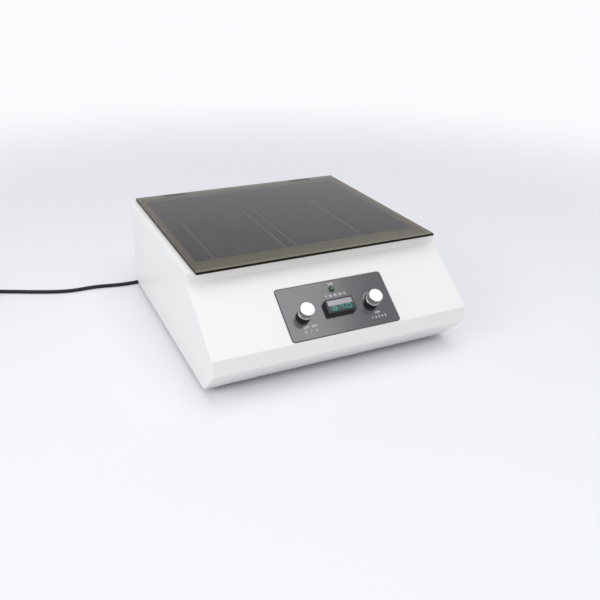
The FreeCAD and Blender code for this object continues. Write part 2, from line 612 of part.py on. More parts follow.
# Chamber tray: drawn from one sheet, hung by its rim under the casing's top flange
tray = new_body("Tray")
wall_in = {"left": "-mouth_half - tray_gap", "right": "mouth_half + tray_gap",
           "low": "mouth_front - tray_gap", "high": "mouth_back + tray_gap"}
shell = new_sketch(tray, "TrayShell", raised="tray_low")
rounded(shell, wall_in["left"] + " - tray_thick", wall_in["right"] + " + tray_thick",
        wall_in["low"] + " - tray_thick", wall_in["high"] + " + tray_thick",
        "(mouth_round + tray_gap + tray_thick)")
pad(tray, shell, "tray_deep + tray_thick")
soften(tray, "tray_floor_round", lambda edge: lies_at(edge, "z", "tray_low"))
hollow = new_body("TrayHollow")
inner = new_sketch(hollow, "TrayInner", raised="tray_floor")
rounded(inner, wall_in["left"], wall_in["right"], wall_in["low"], wall_in["high"],
        "mouth_round + tray_gap")
pad(hollow, inner, "tray_deep + cut_overrun")
soften(hollow, "tray_floor_round - tray_thick", lambda edge: lies_at(edge, "z", "tray_floor"))
doc.recompute()
hollow_cut = tray.newObject("PartDesign::Boolean", "TrayHollowCut")
hollow_cut.Type = "Cut"
hollow_cut.setObjects([hollow])
rim = new_sketch(tray, "TrayRim", raised="tray_top")
rectangle(rim, wall_in["left"] + " - tray_rim", wall_in["right"] + " + tray_rim",
          wall_in["low"] + " - tray_rim", wall_in["high"] + " + tray_rim")
rounded(rim, wall_in["left"], wall_in["right"], wall_in["low"], wall_in["high"],
        "mouth_round + tray_gap")
pad(tray, rim, "tray_thick", reverse=True)
floor_holes = new_sketch(tray, "TrayFloorHoles", raised="tray_low")
circle(floor_holes, "0", "mouth_middle", "shaft_hole_round")
for corner, x_sign, y_sign in CORNERS:
    circle(floor_holes, f"{x_sign}idler_x", f"mouth_middle {y_sign} idler_y", "idler_hole_round")
pocket(tray, floor_holes, "2 * tray_thick + cut_overrun", "Symmetric")
probe_hole = new_sketch(tray, "TrayProbeHole", "XZ_Plane", "-(mouth_front - tray_gap)")
circle(probe_hole, "probe_x", "tray_floor + probe_up", "probe_round")
pocket(tray, probe_hole, "2 * tray_thick + cut_overrun", "Symmetric")
keep(tray, "chamber_tray")

# Seal: a flat foam strip round the mouth, under the lid
seal = new_body("Seal")
strip = new_sketch(seal, "SealStrip", raised="casing_top")
rounded(strip, "-mouth_half - seal_inset - seal_wide", "mouth_half + seal_inset + seal_wide",
        "mouth_front - seal_inset - seal_wide", "mouth_back + seal_inset + seal_wide",
        "(mouth_round + seal_wide)")
rounded(strip, "-mouth_half - seal_inset", "mouth_half + seal_inset",
        "mouth_front - seal_inset", "mouth_back + seal_inset", "mouth_round")
pad(seal, strip, "seal_thick")
keep(seal, "lid_seal")

# Heater mat stuck under the chamber floor, with holes for the shafts
mat = new_body("HeaterMat")
mat_outline = new_sketch(mat, "MatOutline", raised="mat_low")
rounded(mat_outline, "-mat_wide / 2", "mat_wide / 2", "mouth_middle - mat_deep / 2",
        "mouth_middle + mat_deep / 2", "carrier_round")
circle(mat_outline, "0", "mouth_middle", "shaft_hole_round + mat_hole_gap")
for corner, x_sign, y_sign in CORNERS:
    circle(mat_outline, f"{x_sign}idler_x", f"mouth_middle {y_sign} idler_y",
           "idler_hole_round + mat_hole_gap")
pad(mat, mat_outline, "mat_thick")
keep(mat, "heater_mat")

# Thermal cut-out: a disc thermostat with two tabs, pressed to the mat
cutout = new_body("Cutout")
disc = new_sketch(cutout, "CutoutDisc", raised="mat_low")
circle(disc, "cutout_disc_x", "mouth_middle - cutout_disc_y", "cutout_disc_round")
pad(cutout, disc, "cutout_disc_high", reverse=True)
tabs = new_sketch(cutout, "CutoutTabs", raised="mat_low - cutout_disc_high + tab_thick")
rectangle(tabs, "cutout_disc_x - cutout_disc_round - tab_long",
          "cutout_disc_x + cutout_disc_round + tab_long",
          "mouth_middle - cutout_disc_y - tab_wide / 2",
          "mouth_middle - cutout_disc_y + tab_wide / 2")
pad(cutout, tabs, "tab_thick", reverse=True)
keep(cutout, "thermal_cutout")

# Temperature probe through the chamber's front wall: tube, and a hexagon each side of the wall
probe = turned("Probe", [
    ("0", "-probe_tail - tray_thick"), ("probe_round", "-probe_tail - tray_thick"),
    ("probe_round", "probe_long - probe_round / 2"), ("probe_round / 2", "probe_long"),
    ("0", "probe_long"),
])
for name, raised, away in (("In", "0", False), ("Out", "-tray_thick", True)):
    hexagon = new_sketch(probe, "ProbeNut" + name, raised=raised)
    reach = "probe_nut_across / 2"
    half_flat = f"{reach} * tan(30)"
    outline(hexagon, [
        (half_flat, reach), (f"-{half_flat}", reach), (f"-2 * {half_flat}", "0"),
        (f"-{half_flat}", f"-{reach}"), (half_flat, f"-{reach}"), (f"2 * {half_flat}", "0"),
    ])
    pad(probe, hexagon, "probe_nut_thick", reverse=away)
turn(probe, (1, 0, 0), -90)
place(probe, "probe_x", "mouth_front - tray_gap", "tray_floor + probe_up")
keep(probe, "temperature_probe")


# Lid: a flat smoked acrylic sheet that overhangs the front lip as a finger grip
lid = new_body("Lid")
lid_outline = new_sketch(lid, "LidOutline", raised="lid_low")
rectangle(lid_outline, "-lid_wide / 2", "lid_wide / 2", "lid_front", "lid_back")
for side, sign in SIDES:
    for other, shift in SIDES:
        circle(lid_outline, f"{sign}hinge_from_middle {shift} clip_screw_spread / 2",
               "lid_back - clip_deep / 2", "clip_screw_round")
pad(lid, lid_outline, "lid_thick")
head_seats = new_sketch(lid, "LidHeadSeats", raised="lid_top")
for side, sign in SIDES:
    for other, shift in SIDES:
        circle(head_seats, f"{sign}hinge_from_middle {shift} clip_screw_spread / 2",
               "lid_back - clip_deep / 2", "clip_screw_head_round")
pocket(lid, head_seats, "clip_screw_head_high")
keep(lid, "lid_panel")


def hinge_tube(body, name, spans, radius):
    """Round lengths along the hinge line, given as pairs of places along X."""
    for number, (left, right) in enumerate(spans):
        ring = new_sketch(body, f"{name}{number}", "YZ_Plane", left)
        circle(ring, "axis_y", "axis_z", radius)
        pad(body, ring, f"{right} - ({left})")


# Hinges: a clip under the lid's back edge, a leaf on the casing's back wall, and a pin through both
clips, leaves, pins, clip_screws = [], [], [], []
for side, sign in SIDES:
    clip = new_body("Clip" + side)
    strip = new_sketch(clip, "ClipStrip" + side, "YZ_Plane")
    rectangle(strip, "lid_back - clip_deep", "lid_back", "lid_low - clip_thick", "lid_low")
    pad(clip, strip, "hinge_long", "Symmetric")
    half_knuckle = "moving_knuckle_long / 2"
    hinge_tube(clip, "ClipKnuckle" + side, [(f"-{half_knuckle}", half_knuckle)],
               "hinge_round - hinge_gap")
    bridge = new_sketch(clip, "ClipBridge" + side, "YZ_Plane")
    rectangle(bridge, "lid_back - clip_deep / 4", "axis_y", "lid_low - clip_thick", "lid_low")
    pad(clip, bridge, "moving_knuckle_long", "Symmetric")
    bore = new_sketch(clip, "ClipBore" + side, "YZ_Plane")
    circle(bore, "axis_y", "axis_z", "pin_round + pin_run_gap")
    pocket(clip, bore, "hinge_long", "Symmetric")
    holes = new_sketch(clip, "ClipHoles" + side, raised="lid_low")
    for other, shift in SIDES:
        circle(holes, f"{shift}clip_screw_spread / 2", "lid_back - clip_deep / 2",
               "clip_screw_round")
    pocket(clip, holes, "2 * clip_thick + cut_overrun", "Symmetric")
    clips.append(place(clip, f"{sign}hinge_from_middle"))

    leaf = new_body("Leaf" + side)
    plate = new_sketch(leaf, "LeafPlate" + side, "XZ_Plane", "-back_y")
    gap_half = f"({half_knuckle} + hinge_gap)"
    notch = "axis_z - hinge_round - hinge_gap"
    outline(plate, [
        ("-hinge_long / 2", "axis_z - leaf_high"), ("hinge_long / 2", "axis_z - leaf_high"),
        ("hinge_long / 2", "axis_z"), (gap_half, "axis_z"), (gap_half, notch),
        (f"-{gap_half}", notch), (f"-{gap_half}", "axis_z"), ("-hinge_long / 2", "axis_z"),
    ])
    pad(leaf, plate, "leaf_thick", reverse=True)
    hinge_tube(leaf, "LeafKnuckle" + side, [
        ("-hinge_long / 2", f"-{gap_half}"), (gap_half, "hinge_long / 2"),
    ], "hinge_round")
    bore = new_sketch(leaf, "LeafBore" + side, "YZ_Plane")
    circle(bore, "axis_y", "axis_z", "pin_round")
    pocket(leaf, bore, "hinge_long + cut_overrun", "Symmetric")
    holes = new_sketch(leaf, "LeafHoles" + side, "XZ_Plane", "-back_y")
    for other, shift in SIDES:
        circle(holes, f"{shift}leaf_screw_spread / 2", "axis_z - leaf_screw_drop",
               "small_screw_round")
    pocket(leaf, holes, "2 * leaf_thick + cut_overrun", "Symmetric")
    soften(leaf, "hinge_round", lambda edge: runs_along(edge, (0, 1, 0))
           and lies_at(edge, "z", "axis_z - leaf_high"))
    leaves.append(place(leaf, f"{sign}hinge_from_middle"))

    pin = new_body("Pin" + side)
    half_pin = "hinge_long / 2"
    hinge_tube(pin, "PinLength" + side, [(f"-{half_pin}", half_pin)], "pin_round")
    hinge_tube(pin, "PinHead" + side, [
        (f"-{half_pin} - pin_head_long", f"-{half_pin}"), (half_pin, f"{half_pin} + pin_head_long"),
    ], "pin_head_round")
    pins.append(place(pin, f"{sign}hinge_from_middle"))

    for other, shift in SIDES:
        bolt = screw("ClipScrew" + side + other, "clip_screw_round", "clip_screw_head_round",
                     "clip_screw_head_high", "lid_thick - clip_screw_head_high + clip_thick")
        x = f"{sign}hinge_from_middle {shift} clip_screw_spread / 2"
        clip_screws.append(place(bolt, x, "lid_back - clip_deep / 2",
                                 "lid_top - clip_screw_head_high"))
        bolt = screw("LeafScrew" + side + other, "small_screw_round", "small_screw_head_round",
                     "small_screw_head_high", "small_screw_long")
        turn(bolt, (1, 0, 0), -90)
        x = f"{sign}hinge_from_middle {shift} leaf_screw_spread / 2"
        casing_screws.append(place(bolt, x, "back_y + leaf_thick", "axis_z - leaf_screw_drop"))
grouped("lid_clips", clips)
grouped("hinge_leaves", leaves)
grouped("hinge_pins", pins)
grouped("clip_screws", clip_screws)
grouped("casing_screws", casing_screws)


# Control panel: a thin plate on the slope, round at its corners
panel = new_body("Panel")
panel_outline = new_sketch(panel, "PanelOutline")
rounded(panel_outline, "-panel_wide / 2", "panel_wide / 2", "panel_low",
        "panel_low + panel_tall", "panel_round")
holes_in_front(panel_outline)
pad(panel, panel_outline, "panel_thick")
keep(on_slope(panel), "control_panel")

# Temperature display: a proud bevelled bezel, a long body behind it, and a window let in flush
display = new_body("Display")
bezel = new_sketch(display, "DisplayBezel", raised="panel_face")
rectangle(bezel, "-display_wide / 2", "display_wide / 2", "row_up - display_tall / 2",
          "row_up + display_tall / 2")
pad(display, bezel, "display_proud")
soften(display, "display_bevel",
       lambda edge: lies_at(edge, "z", "panel_face + display_proud"), "Chamfer")
case = new_sketch(display, "DisplayCase", raised="panel_face")
rectangle(case, "-display_body_wide / 2", "display_body_wide / 2",
          "row_up - display_body_tall / 2", "row_up + display_body_tall / 2")
pad(display, case, "display_body_long", reverse=True)
window_seat = new_sketch(display, "WindowSeat", raised="panel_face + display_proud")
rectangle(window_seat, "-window_wide / 2", "window_wide / 2", "row_up - window_tall / 2",
          "row_up + window_tall / 2")
pocket(display, window_seat, "window_thick")
keep(on_slope(display), "display_housing")

window = new_body("Window")
pane = new_sketch(window, "WindowPane", raised="panel_face + display_proud - window_thick")
rectangle(pane, "-window_wide / 2", "window_wide / 2", "row_up - window_tall / 2",
          "row_up + window_tall / 2")
pad(window, pane, "window_thick")
keep(on_slope(window), "display_window")

# Indicator lamp: a bezel with a threaded barrel, and a domed lens in its bore
lamp = turned("Lamp", [
    ("lamp_lens_round", "panel_face - lamp_lens_seat"),
    ("lamp_lens_round", "panel_face + lamp_flange_high"),
    ("lamp_lens_round + (lamp_flange_round - lamp_lens_round) / 3",
     "panel_face + lamp_flange_high"),
    ("lamp_flange_round", "panel_face + lamp_flange_high / 3"),
    ("lamp_flange_round", "panel_face"), ("lamp_barrel_round", "panel_face"),
    ("lamp_barrel_round", "-lamp_barrel_long"), ("0", "-lamp_barrel_long"),
    ("0", "panel_face - lamp_lens_seat"),
])
lens = turned("Lens", [
    ("0", "panel_face - lamp_lens_seat"), ("lamp_lens_round", "panel_face - lamp_lens_seat"),
    ("lamp_lens_round", "panel_face + lamp_flange_high"),
    ("lamp_lens_round * cos(22.5)", "panel_face + lamp_flange_high + lamp_lens_rise * sin(22.5)"),
    ("lamp_lens_round * cos(45)", "panel_face + lamp_flange_high + lamp_lens_rise * sin(45)"),
    ("lamp_lens_round * cos(67.5)", "panel_face + lamp_flange_high + lamp_lens_rise * sin(67.5)"),
    ("0", "panel_face + lamp_flange_high + lamp_lens_rise"),
])


def up_the_slope(thing, across, up):
    """Stand a turned thing on the slope, at a place across and up it."""
    turn(thing, (1, 0, 0), size("slope_tilt"))
    place(thing, across, f"front_y + ({up}) * cos(slope_tilt)",
          f"slope_foot + ({up}) * sin(slope_tilt)")
    tie(thing, "Placement.Rotation.Angle", "slope_tilt")
    return thing


keep(up_the_slope(lamp, "0", "lamp_up"), "lamp_bezel")
keep(up_the_slope(lens, "0", "lamp_up"), "lamp_lens")


def front_control(name, wide_body):
    """A switch or potentiometer behind the front: its case, and the bush that holds it."""
    body = new_body(name)
    case_sketch = new_sketch(body, name + "Case", raised="-sheet_thick")
    if wide_body:
        rounded(case_sketch, "-switch_wide / 2", "switch_wide / 2", "-switch_wide / 2",
                "switch_wide / 2", "panel_round")
    else:
        circle(case_sketch, "0", "0", "pot_round")
    length = "switch_long" if wide_body else "pot_long"
    pad(body, case_sketch, length, reverse=True)
    bush = new_sketch(body, name + "Bush", raised="-sheet_thick")
    circle(bush, "0", "0", "bush_round")
    pad(body, bush, "bush_top + sheet_thick")
    lugs = new_sketch(body, name + "Lugs", raised=f"-sheet_thick - {length} / 2")
    edge = "switch_wide / 2" if wide_body else "pot_round"
    for step in (-1, 0, 1):
        rectangle(lugs, f"{step} * lug_pitch - lug_wide / 2", f"{step} * lug_pitch + lug_wide / 2",
                  f"-{edge} - lug_long", f"-{edge} + lug_long")
    pad(body, lugs, "lug_thick")
    bore = new_sketch(body, name + "Bore", raised="bush_top")
    circle(bore, "0", "0", "spindle_round + spindle_run_gap")
    pocket(body, bore, "bush_top + sheet_thick + spindle_sunk + knob_gap")
    return body


def knob(name):
    """A knob of two pieces: a plastic foot with a core, and a knurled metal cap over the core."""
    foot_body = turned(name + "Foot", [
        ("knob_recess_round", "knob_low"), ("knob_round + knob_foot_flare", "knob_low"),
        ("knob_round", "cap_low"), ("knob_core_round", "cap_low"), ("knob_core_round", "core_top"),
        ("0", "core_top"), ("0", "core_top - cap_top_thick"),
        ("spindle_round", "core_top - cap_top_thick"), ("spindle_round", "recess_top"),
        ("knob_recess_round", "recess_top"),
    ])
    lip = "knob_round + cap_lip_proud"
    cap_body = turned(name + "Cap", [
        ("knob_core_round", "cap_low"), (lip, "cap_low"), (lip, "cap_low + cap_lip_high"),
        ("knob_round", "cap_low + cap_lip_high + cap_lip_proud"),
        ("knob_round", "knob_top - cap_bevel"), ("knob_round - cap_bevel", "knob_top"),
        ("0", "knob_top"), ("0", "core_top"), ("knob_core_round", "core_top"),
    ])
    flute_low = "(cap_low + cap_lip_high + cap_lip_proud + flute_end_gap)"
    flute = new_sketch(cap_body, name + "Flute", raised=flute_low)
    outline(flute, [
        ("knob_round - flute_deep", "0"), ("knob_round + flute_deep", "-flute_wide"),
        ("knob_round + flute_deep", "flute_wide"),
    ])
    cut = pocket(cap_body, flute, f"knob_top - cap_bevel - flute_end_gap - {flute_low}",
                 reverse=True)
    ring = cap_body.newObject("PartDesign::PolarPattern", name + "Flutes")
    ring.Originals = [cut]
    ring.Axis = (flute, ["N_Axis"])
    ring.Angle = 360
    tie(ring, "Occurrences", "flute_count")
    cap_body.Tip = ring
    spindle = turned(name + "Spindle", [
        ("0", "-sheet_thick - spindle_sunk"), ("spindle_round", "-sheet_thick - spindle_sunk"),
        ("spindle_round", "core_top - cap_top_thick"), ("0", "core_top - cap_top_thick"),
    ])
    return foot_body, cap_body, spindle


# Rotary heater switch on the left, speed potentiometer on the right, with their knobs
front_nuts, spindles = [], []
for name, part_name, spot, square in (
        ("Heater", "heater_switch", "-heater_from_middle", True),
        ("Speed", "speed_potentiometer", "speed_from_middle", False)):
    keep(up_the_slope(front_control(name + "Control", square), spot, "knobs_up"), part_name)
    nut = new_body(name + "Nut")
    hexagon = new_sketch(nut, name + "Hexagon", raised="panel_face")
    reach, half_flat = "nut_across / 2", "nut_across / 2 * tan(30)"
    outline(hexagon, [
        (half_flat, reach), (f"-{half_flat}", reach), (f"-2 * {half_flat}", "0"),
        (f"-{half_flat}", f"-{reach}"), (half_flat, f"-{reach}"), (f"2 * {half_flat}", "0"),
    ])
    circle(hexagon, "0", "0", "bush_round")
    pad(nut, hexagon, "nut_high")
    front_nuts.append(up_the_slope(nut, spot, "knobs_up"))
    foot_body, cap_body, spindle = knob(name)
    label = name.lower()
    keep(up_the_slope(foot_body, spot, "knobs_up"), label + "_knob")
    keep(up_the_slope(cap_body, spot, "knobs_up"), label + "_knob_cap")
    keep(up_the_slope(spindle, spot, "knobs_up"), label + "_spindle")
grouped("panel_nuts", front_nuts)


# Carrier plate: it rides on the crank pin at its middle hub and on four idler hubs
IDLERS = [(corner, f"{x_sign}idler_x", f"{y_sign}idler_y") for corner, x_sign, y_sign in CORNERS]
carrier = new_body("Carrier")
plate = new_sketch(carrier, "CarrierPlate", raised="carrier_low")
rounded(plate, "-carrier_wide / 2", "carrier_wide / 2", "-carrier_deep / 2", "carrier_deep / 2",
        "carrier_round")
pad(carrier, plate, "carrier_thick")
hubs = new_sketch(carrier, "CarrierHubs", raised="carrier_low")
circle(hubs, "0", "0", "hub_bearing_out + hub_wall")
for corner, x, y in IDLERS:
    circle(hubs, x, y, "idler_bearing_out + idler_hub_wall")
pad(carrier, hubs, "hub_high", reverse=True)
hub_bore = new_sketch(carrier, "CarrierHubBore", raised="hub_low")
circle(hub_bore, "0", "0", "hub_bearing_out")
pocket(carrier, hub_bore, "hub_bearing_high", reverse=True)
idler_bores = new_sketch(carrier, "CarrierIdlerBores", raised="hub_low")
for corner, x, y in IDLERS:
    circle(idler_bores, x, y, "idler_bearing_out")
pocket(carrier, idler_bores, "idler_bearing_high", reverse=True)
pin_reliefs = new_sketch(carrier, "CarrierPinReliefs", raised="hub_low")
for corner, x, y in [("middle", "0", "0")] + IDLERS:
    inner = "hub_bearing_bore" if corner == "middle" else "idler_bearing_bore"
    circle(pin_reliefs, x, y, f"{inner} + race_wall")
pocket(carrier, pin_reliefs, "hub_high - floor_run_gap / 2", reverse=True)
channel_holes = new_sketch(carrier, "CarrierScrewHoles", raised="carrier_top")
CHANNEL_SCREWS = []
for side, sign in SIDES:
    for other, shift in SIDES:
        for end, y_sign in ENDS:
            x = f"{sign}channel_middle {shift} (channel_clear / 2 - channel_screw_in)"
            CHANNEL_SCREWS.append((x, f"{y_sign}(channel_long / 2 - channel_screw_end)"))
for x, y in CHANNEL_SCREWS:
    circle(channel_holes, x, y, "small_screw_round")
pocket(carrier, channel_holes, "2 * carrier_thick + cut_overrun", "Symmetric")
place(carrier, "0", "platform_y")
keep(carrier, "carrier_plate")

# Two plate channels: folded sheet, with hemmed side rails and a low stop at each end
for side, sign in SIDES:
    channel = new_body("Channel" + side)
    section = new_sketch(channel, "ChannelSection" + side, "XZ_Plane")
    inside, outside = "channel_clear / 2", "channel_clear / 2 + channel_thick"
    floor_top = "carrier_top + channel_thick"
    rail_top = "carrier_top + channel_high"
    hem_low, hem_out = f"{rail_top} - hem_high", f"{outside} + channel_thick"
    outline(section, [
        (f"-({outside})", "carrier_top"), (outside, "carrier_top"), (outside, hem_low),
        (hem_out, hem_low), (hem_out, rail_top), (inside, rail_top), (inside, floor_top),
        (f"-{inside}", floor_top), (f"-{inside}", rail_top), (f"-({hem_out})", rail_top),
        (f"-({hem_out})", hem_low), (f"-({outside})", hem_low),
    ])
    pad(channel, section, "channel_long", "Symmetric")
    stops = new_sketch(channel, "ChannelStops" + side, raised=floor_top)
    for end, y_sign in ENDS:
        edge = f"{y_sign}(channel_long / 2)"
        inner = f"{y_sign}(channel_long / 2 - channel_thick)"
        rectangle(stops, "-stop_wide / 2", "stop_wide / 2", edge, inner)
    pad(channel, stops, "stop_high")
    holes = new_sketch(channel, "ChannelHoles" + side, raised="carrier_top")
    for other, shift in SIDES:
        for end, y_sign in ENDS:
            circle(holes, f"{shift}(channel_clear / 2 - channel_screw_in)",
                   f"{y_sign}(channel_long / 2 - channel_screw_end)", "small_screw_round")
    pocket(channel, holes, "2 * channel_thick + cut_overrun", "Symmetric")
    place(channel, f"{sign}channel_middle", "platform_y")
    keep(channel, side + "_plate_channel")

channel_screws = []
for number, (x, y) in enumerate(CHANNEL_SCREWS):
    bolt = screw(f"ChannelScrew{number}", "small_screw_round", "small_screw_head_round",
                 "small_screw_head_high", "channel_thick + carrier_thick")
    channel_screws.append(place(bolt, x, f"platform_y + {y}", "carrier_top + channel_thick"))
grouped("channel_screws", channel_screws)

# Bearings pressed into the carrier's hubs
hub_bearings = [place(bearing("HubBearing", "hub_bearing_bore", "hub_bearing_out",
                              "hub_bearing_high"), "0", "platform_y", "hub_low")]
for corner, x, y in IDLERS:
    ring = bearing("HubBearing" + corner, "idler_bearing_bore", "idler_bearing_out",
                         "idler_bearing_high")
    hub_bearings.append(place(ring, x, f"platform_y + ({y})", "hub_low"))
grouped("platform_bearings", hub_bearings)


# Drive crank: shaft, disc and offset pin in one turned piece
crank = turned("Crank", [
    ("0", "shaft_low"), ("shaft_bearing_bore - bearing_run_gap", "shaft_low"),
    ("shaft_bearing_bore - bearing_run_gap", "disc_low"), ("disc_round", "disc_low"),
    ("disc_round", "disc_top"), ("0", "disc_top"),
])
crank_pin = new_sketch(crank, "CrankPin", raised="disc_top")
circle(crank_pin, "0", "crank_throw", "hub_bearing_bore - bearing_run_gap")
pad(crank, crank_pin, "hub_low + hub_bearing_high - disc_top")
keep(place(crank, "0", "mouth_middle"), "drive_crank")


def grooved_pulley(name, radius, hub, web):
    """A flat-belt pulley with a flange each side of its belt face, on a plain hub."""
    edge = f"{radius} + pulley_flange_proud"
    low, high = "pulley_low + pulley_flange_high", "pulley_top - pulley_flange_high"
    bore = "shaft_bearing_bore - bearing_run_gap" if web else "motor_shaft_round"
    profile = [(bore, "pulley_low"), (edge, "pulley_low"), (edge, low), (radius, low),
               (radius, high), (edge, high), (edge, "pulley_top"), (bore, "pulley_top")]
    if web:
        rim = f"{radius} - driven_rim"
        web_low, web_high = "pulley_low", "pulley_low + driven_web_high"
        profile = profile[:-1] + [(rim, "pulley_top"), (rim, web_high), (hub, web_high),
                                  (hub, "pulley_top"), (bore, "pulley_top")]
    return turned(name, profile)


driven = grooved_pulley("Driven", "driven_round", "driven_hub_round", True)
lightening = new_sketch(driven, "DrivenHoles", raised="pulley_low")
ring_middle = "(driven_hub_round + driven_round - driven_rim) / 2"
ring_hole = "(driven_round - driven_rim - driven_hub_round) / 3"
circle(lightening, ring_middle, "0", ring_hole)
hole_cut = pocket(driven, lightening, "driven_web_high", reverse=True)
hole_ring = driven.newObject("PartDesign::PolarPattern", "DrivenHoleRing")
hole_ring.Originals = [hole_cut]
hole_ring.Axis = (lightening, ["N_Axis"])
hole_ring.Angle = 360
tie(hole_ring, "Occurrences", "driven_hole_count")
driven.Tip = hole_ring
keep(place(driven, "0", "mouth_middle"), "driven_pulley")

# Counterweight: a half disc on its own hub, opposite the crank pin
weight = new_body("Weight")
half_disc = new_sketch(weight, "WeightDisc", raised="weight_low")
circle(half_disc, "0", "0", "weight_round")
pad(weight, half_disc, "weight_high")
waste = new_sketch(weight, "WeightWaste", raised="weight_low")
rectangle(waste, "-weight_round - cut_overrun", "weight_round + cut_overrun", "0",
          "weight_round + cut_overrun")
pocket(weight, waste, "weight_high", reverse=True)
hub = new_sketch(weight, "WeightHub", raised="weight_low")
circle(hub, "0", "0", "weight_hub_round")
pad(weight, hub, "pulley_low - weight_low")
shaft_bore = new_sketch(weight, "WeightBore", raised="weight_low")
circle(shaft_bore, "0", "0", "shaft_bearing_bore - bearing_run_gap")
pocket(weight, shaft_bore, "2 * (pulley_low - weight_low) + cut_overrun", "Symmetric")
keep(place(weight, "0", "mouth_middle"), "counterweight")

# Four idler cranks with the crank's own throw, their bearings and their housings
housings, idler_bearings = [], []
for corner, x, y in IDLERS:
    spot_y = f"mouth_middle + ({y})"
    journal = "idler_bearing_bore - bearing_run_gap"
    idler = turned("Idler" + corner, [
        ("0", "deck_top"), (journal, "deck_top"), (journal, "disc_low"),
        ("arm_round", "disc_low"), ("arm_round", "disc_top"), ("0", "disc_top"),
    ])
    idler_pin = new_sketch(idler, "IdlerPin" + corner, raised="disc_top")
    circle(idler_pin, "0", "crank_throw", "idler_bearing_bore - open_pivot_gap")
    pad(idler, idler_pin, "hub_low + idler_bearing_high - disc_top")
    keep(place(idler, x, spot_y), corner + "_idler")

    wall = "idler_bearing_out"
    seat = "housing_top - 2 * idler_bearing_high"
    housing = turned("IdlerHousing" + corner, [
        (f"{wall} - race_wall", "deck_top"), ("idler_flange_round", "deck_top"),
        ("idler_flange_round", "deck_top + idler_flange_high"),
        ("idler_housing_round", "deck_top + idler_flange_high"),
        ("idler_housing_round", "housing_top"), (wall, "housing_top"), (wall, seat),
        (f"{wall} - race_wall", seat),
    ])
    housings.append(place(housing, x, spot_y))
    for level, z in (("low", seat), ("high", "housing_top - idler_bearing_high")):
        ring = bearing("IdlerBearing" + corner + level, "idler_bearing_bore",
                             "idler_bearing_out", "idler_bearing_high")
        idler_bearings.append(place(ring, x, spot_y, z))
grouped("idler_housings", housings)
grouped("idler_bearings", idler_bearings)

# Main bearing housing through the deck, with a shoulder between its two bearings
bore = "shaft_bearing_out"
shoulder_low = "housing_low + shaft_bearing_high"
shoulder_high = "housing_top - shaft_bearing_high"
main_housing = turned("MainHousing", [
    (bore, "housing_low"), ("housing_round", "housing_low"), ("housing_round", "deck_top"),
    ("housing_flange_round", "deck_top"),
    ("housing_flange_round", "deck_top + housing_flange_high"),
    ("housing_round", "deck_top + housing_flange_high"), ("housing_round", "housing_top"),
    (bore, "housing_top"), (bore, shoulder_high), (f"{bore} - housing_shoulder", shoulder_high),
    (f"{bore} - housing_shoulder", shoulder_low), (bore, shoulder_low),
])
keep(place(main_housing, "0", "mouth_middle"), "bearing_housing")
main_bearings = []
for level, z in (("Low", "housing_low"), ("High", shoulder_high)):
    ring = bearing("MainBearing" + level, "shaft_bearing_bore", "shaft_bearing_out",
                   "shaft_bearing_high")
    main_bearings.append(place(ring, "0", "mouth_middle", z))
grouped("main_bearings", main_bearings)

# Mechanism deck on four hexagon columns that stand on the base pan
deck = new_body("Deck")
deck_plate = new_sketch(deck, "DeckPlate", raised="deck_low")
rounded(deck_plate, "-deck_wide / 2", "deck_wide / 2", "-deck_deep / 2", "deck_deep / 2",
        "deck_round")
circle(deck_plate, "0", "0", "housing_round")
pad(deck, deck_plate, "deck_thick")
keep(place(deck, "0", "mouth_middle"), "mechanism_deck")
columns = []
for corner, x_sign, y_sign in CORNERS:
    column = doc.addObject("Part::Prism", "Column" + corner)
    column.Polygon = 6
    tie(column, "Circumradius", "column_across / 2 / cos(30)")
    tie(column, "Height", "deck_low - pan_top")
    columns.append(place(column, f"{x_sign}column_x", f"mouth_middle {y_sign} column_y", "pan_top"))
grouped("deck_columns", columns)


# Motor: a can with a rounded end and a square flange, hung from the deck on four spacers
motor = turned("Motor", [
    ("0", "motor_top - motor_long"),
    ("motor_round - motor_end_round", "motor_top - motor_long"),
    ("motor_round", "motor_top - motor_long + motor_end_round"), ("motor_round", "motor_top"),
    ("motor_boss_round", "motor_top"), ("motor_boss_round", "motor_top + motor_boss_high"),
    ("motor_shaft_round + bearing_run_gap", "motor_top + motor_boss_high"),
    ("motor_shaft_round + bearing_run_gap", "motor_top - motor_shaft_sunk"),
    ("0", "motor_top - motor_shaft_sunk"),
])
flange = new_sketch(motor, "MotorFlange", raised="motor_top")
rounded(flange, "-motor_flange_across / 2", "motor_flange_across / 2",
        "-motor_flange_across / 2", "motor_flange_across / 2", "motor_end_round")
circle(flange, "0", "0", "motor_boss_round")
pad(motor, flange, "motor_flange_high", reverse=True)
keep(place(motor, "motor_x", "mouth_middle"), "drive_motor")
spacers = []
for corner, x_sign, y_sign in CORNERS:
    spacer = doc.addObject("Part::Cylinder", "Spacer" + corner)
    tie(spacer, "Radius", "spacer_round")
    tie(spacer, "Height", "deck_low - motor_top")
    spacers.append(place(spacer, f"motor_x {x_sign} spacer_from_middle",
                         f"mouth_middle {y_sign} spacer_from_middle", "motor_top"))
grouped("motor_spacers", spacers)
rotor = turned("MotorShaft", [
    ("0", "motor_top - motor_shaft_sunk + open_pivot_gap"),
    ("motor_shaft_round", "motor_top - motor_shaft_sunk + open_pivot_gap"),
    ("motor_shaft_round", "pulley_top + floor_run_gap"), ("0", "pulley_top + floor_run_gap"),
])
keep(place(rotor, "motor_x", "mouth_middle"), "motor_shaft")
drive_pulley = grooved_pulley("MotorPulley", "motor_pulley_round", "motor_shaft_round", False)
keep(place(drive_pulley, "motor_x", "mouth_middle"), "motor_pulley")


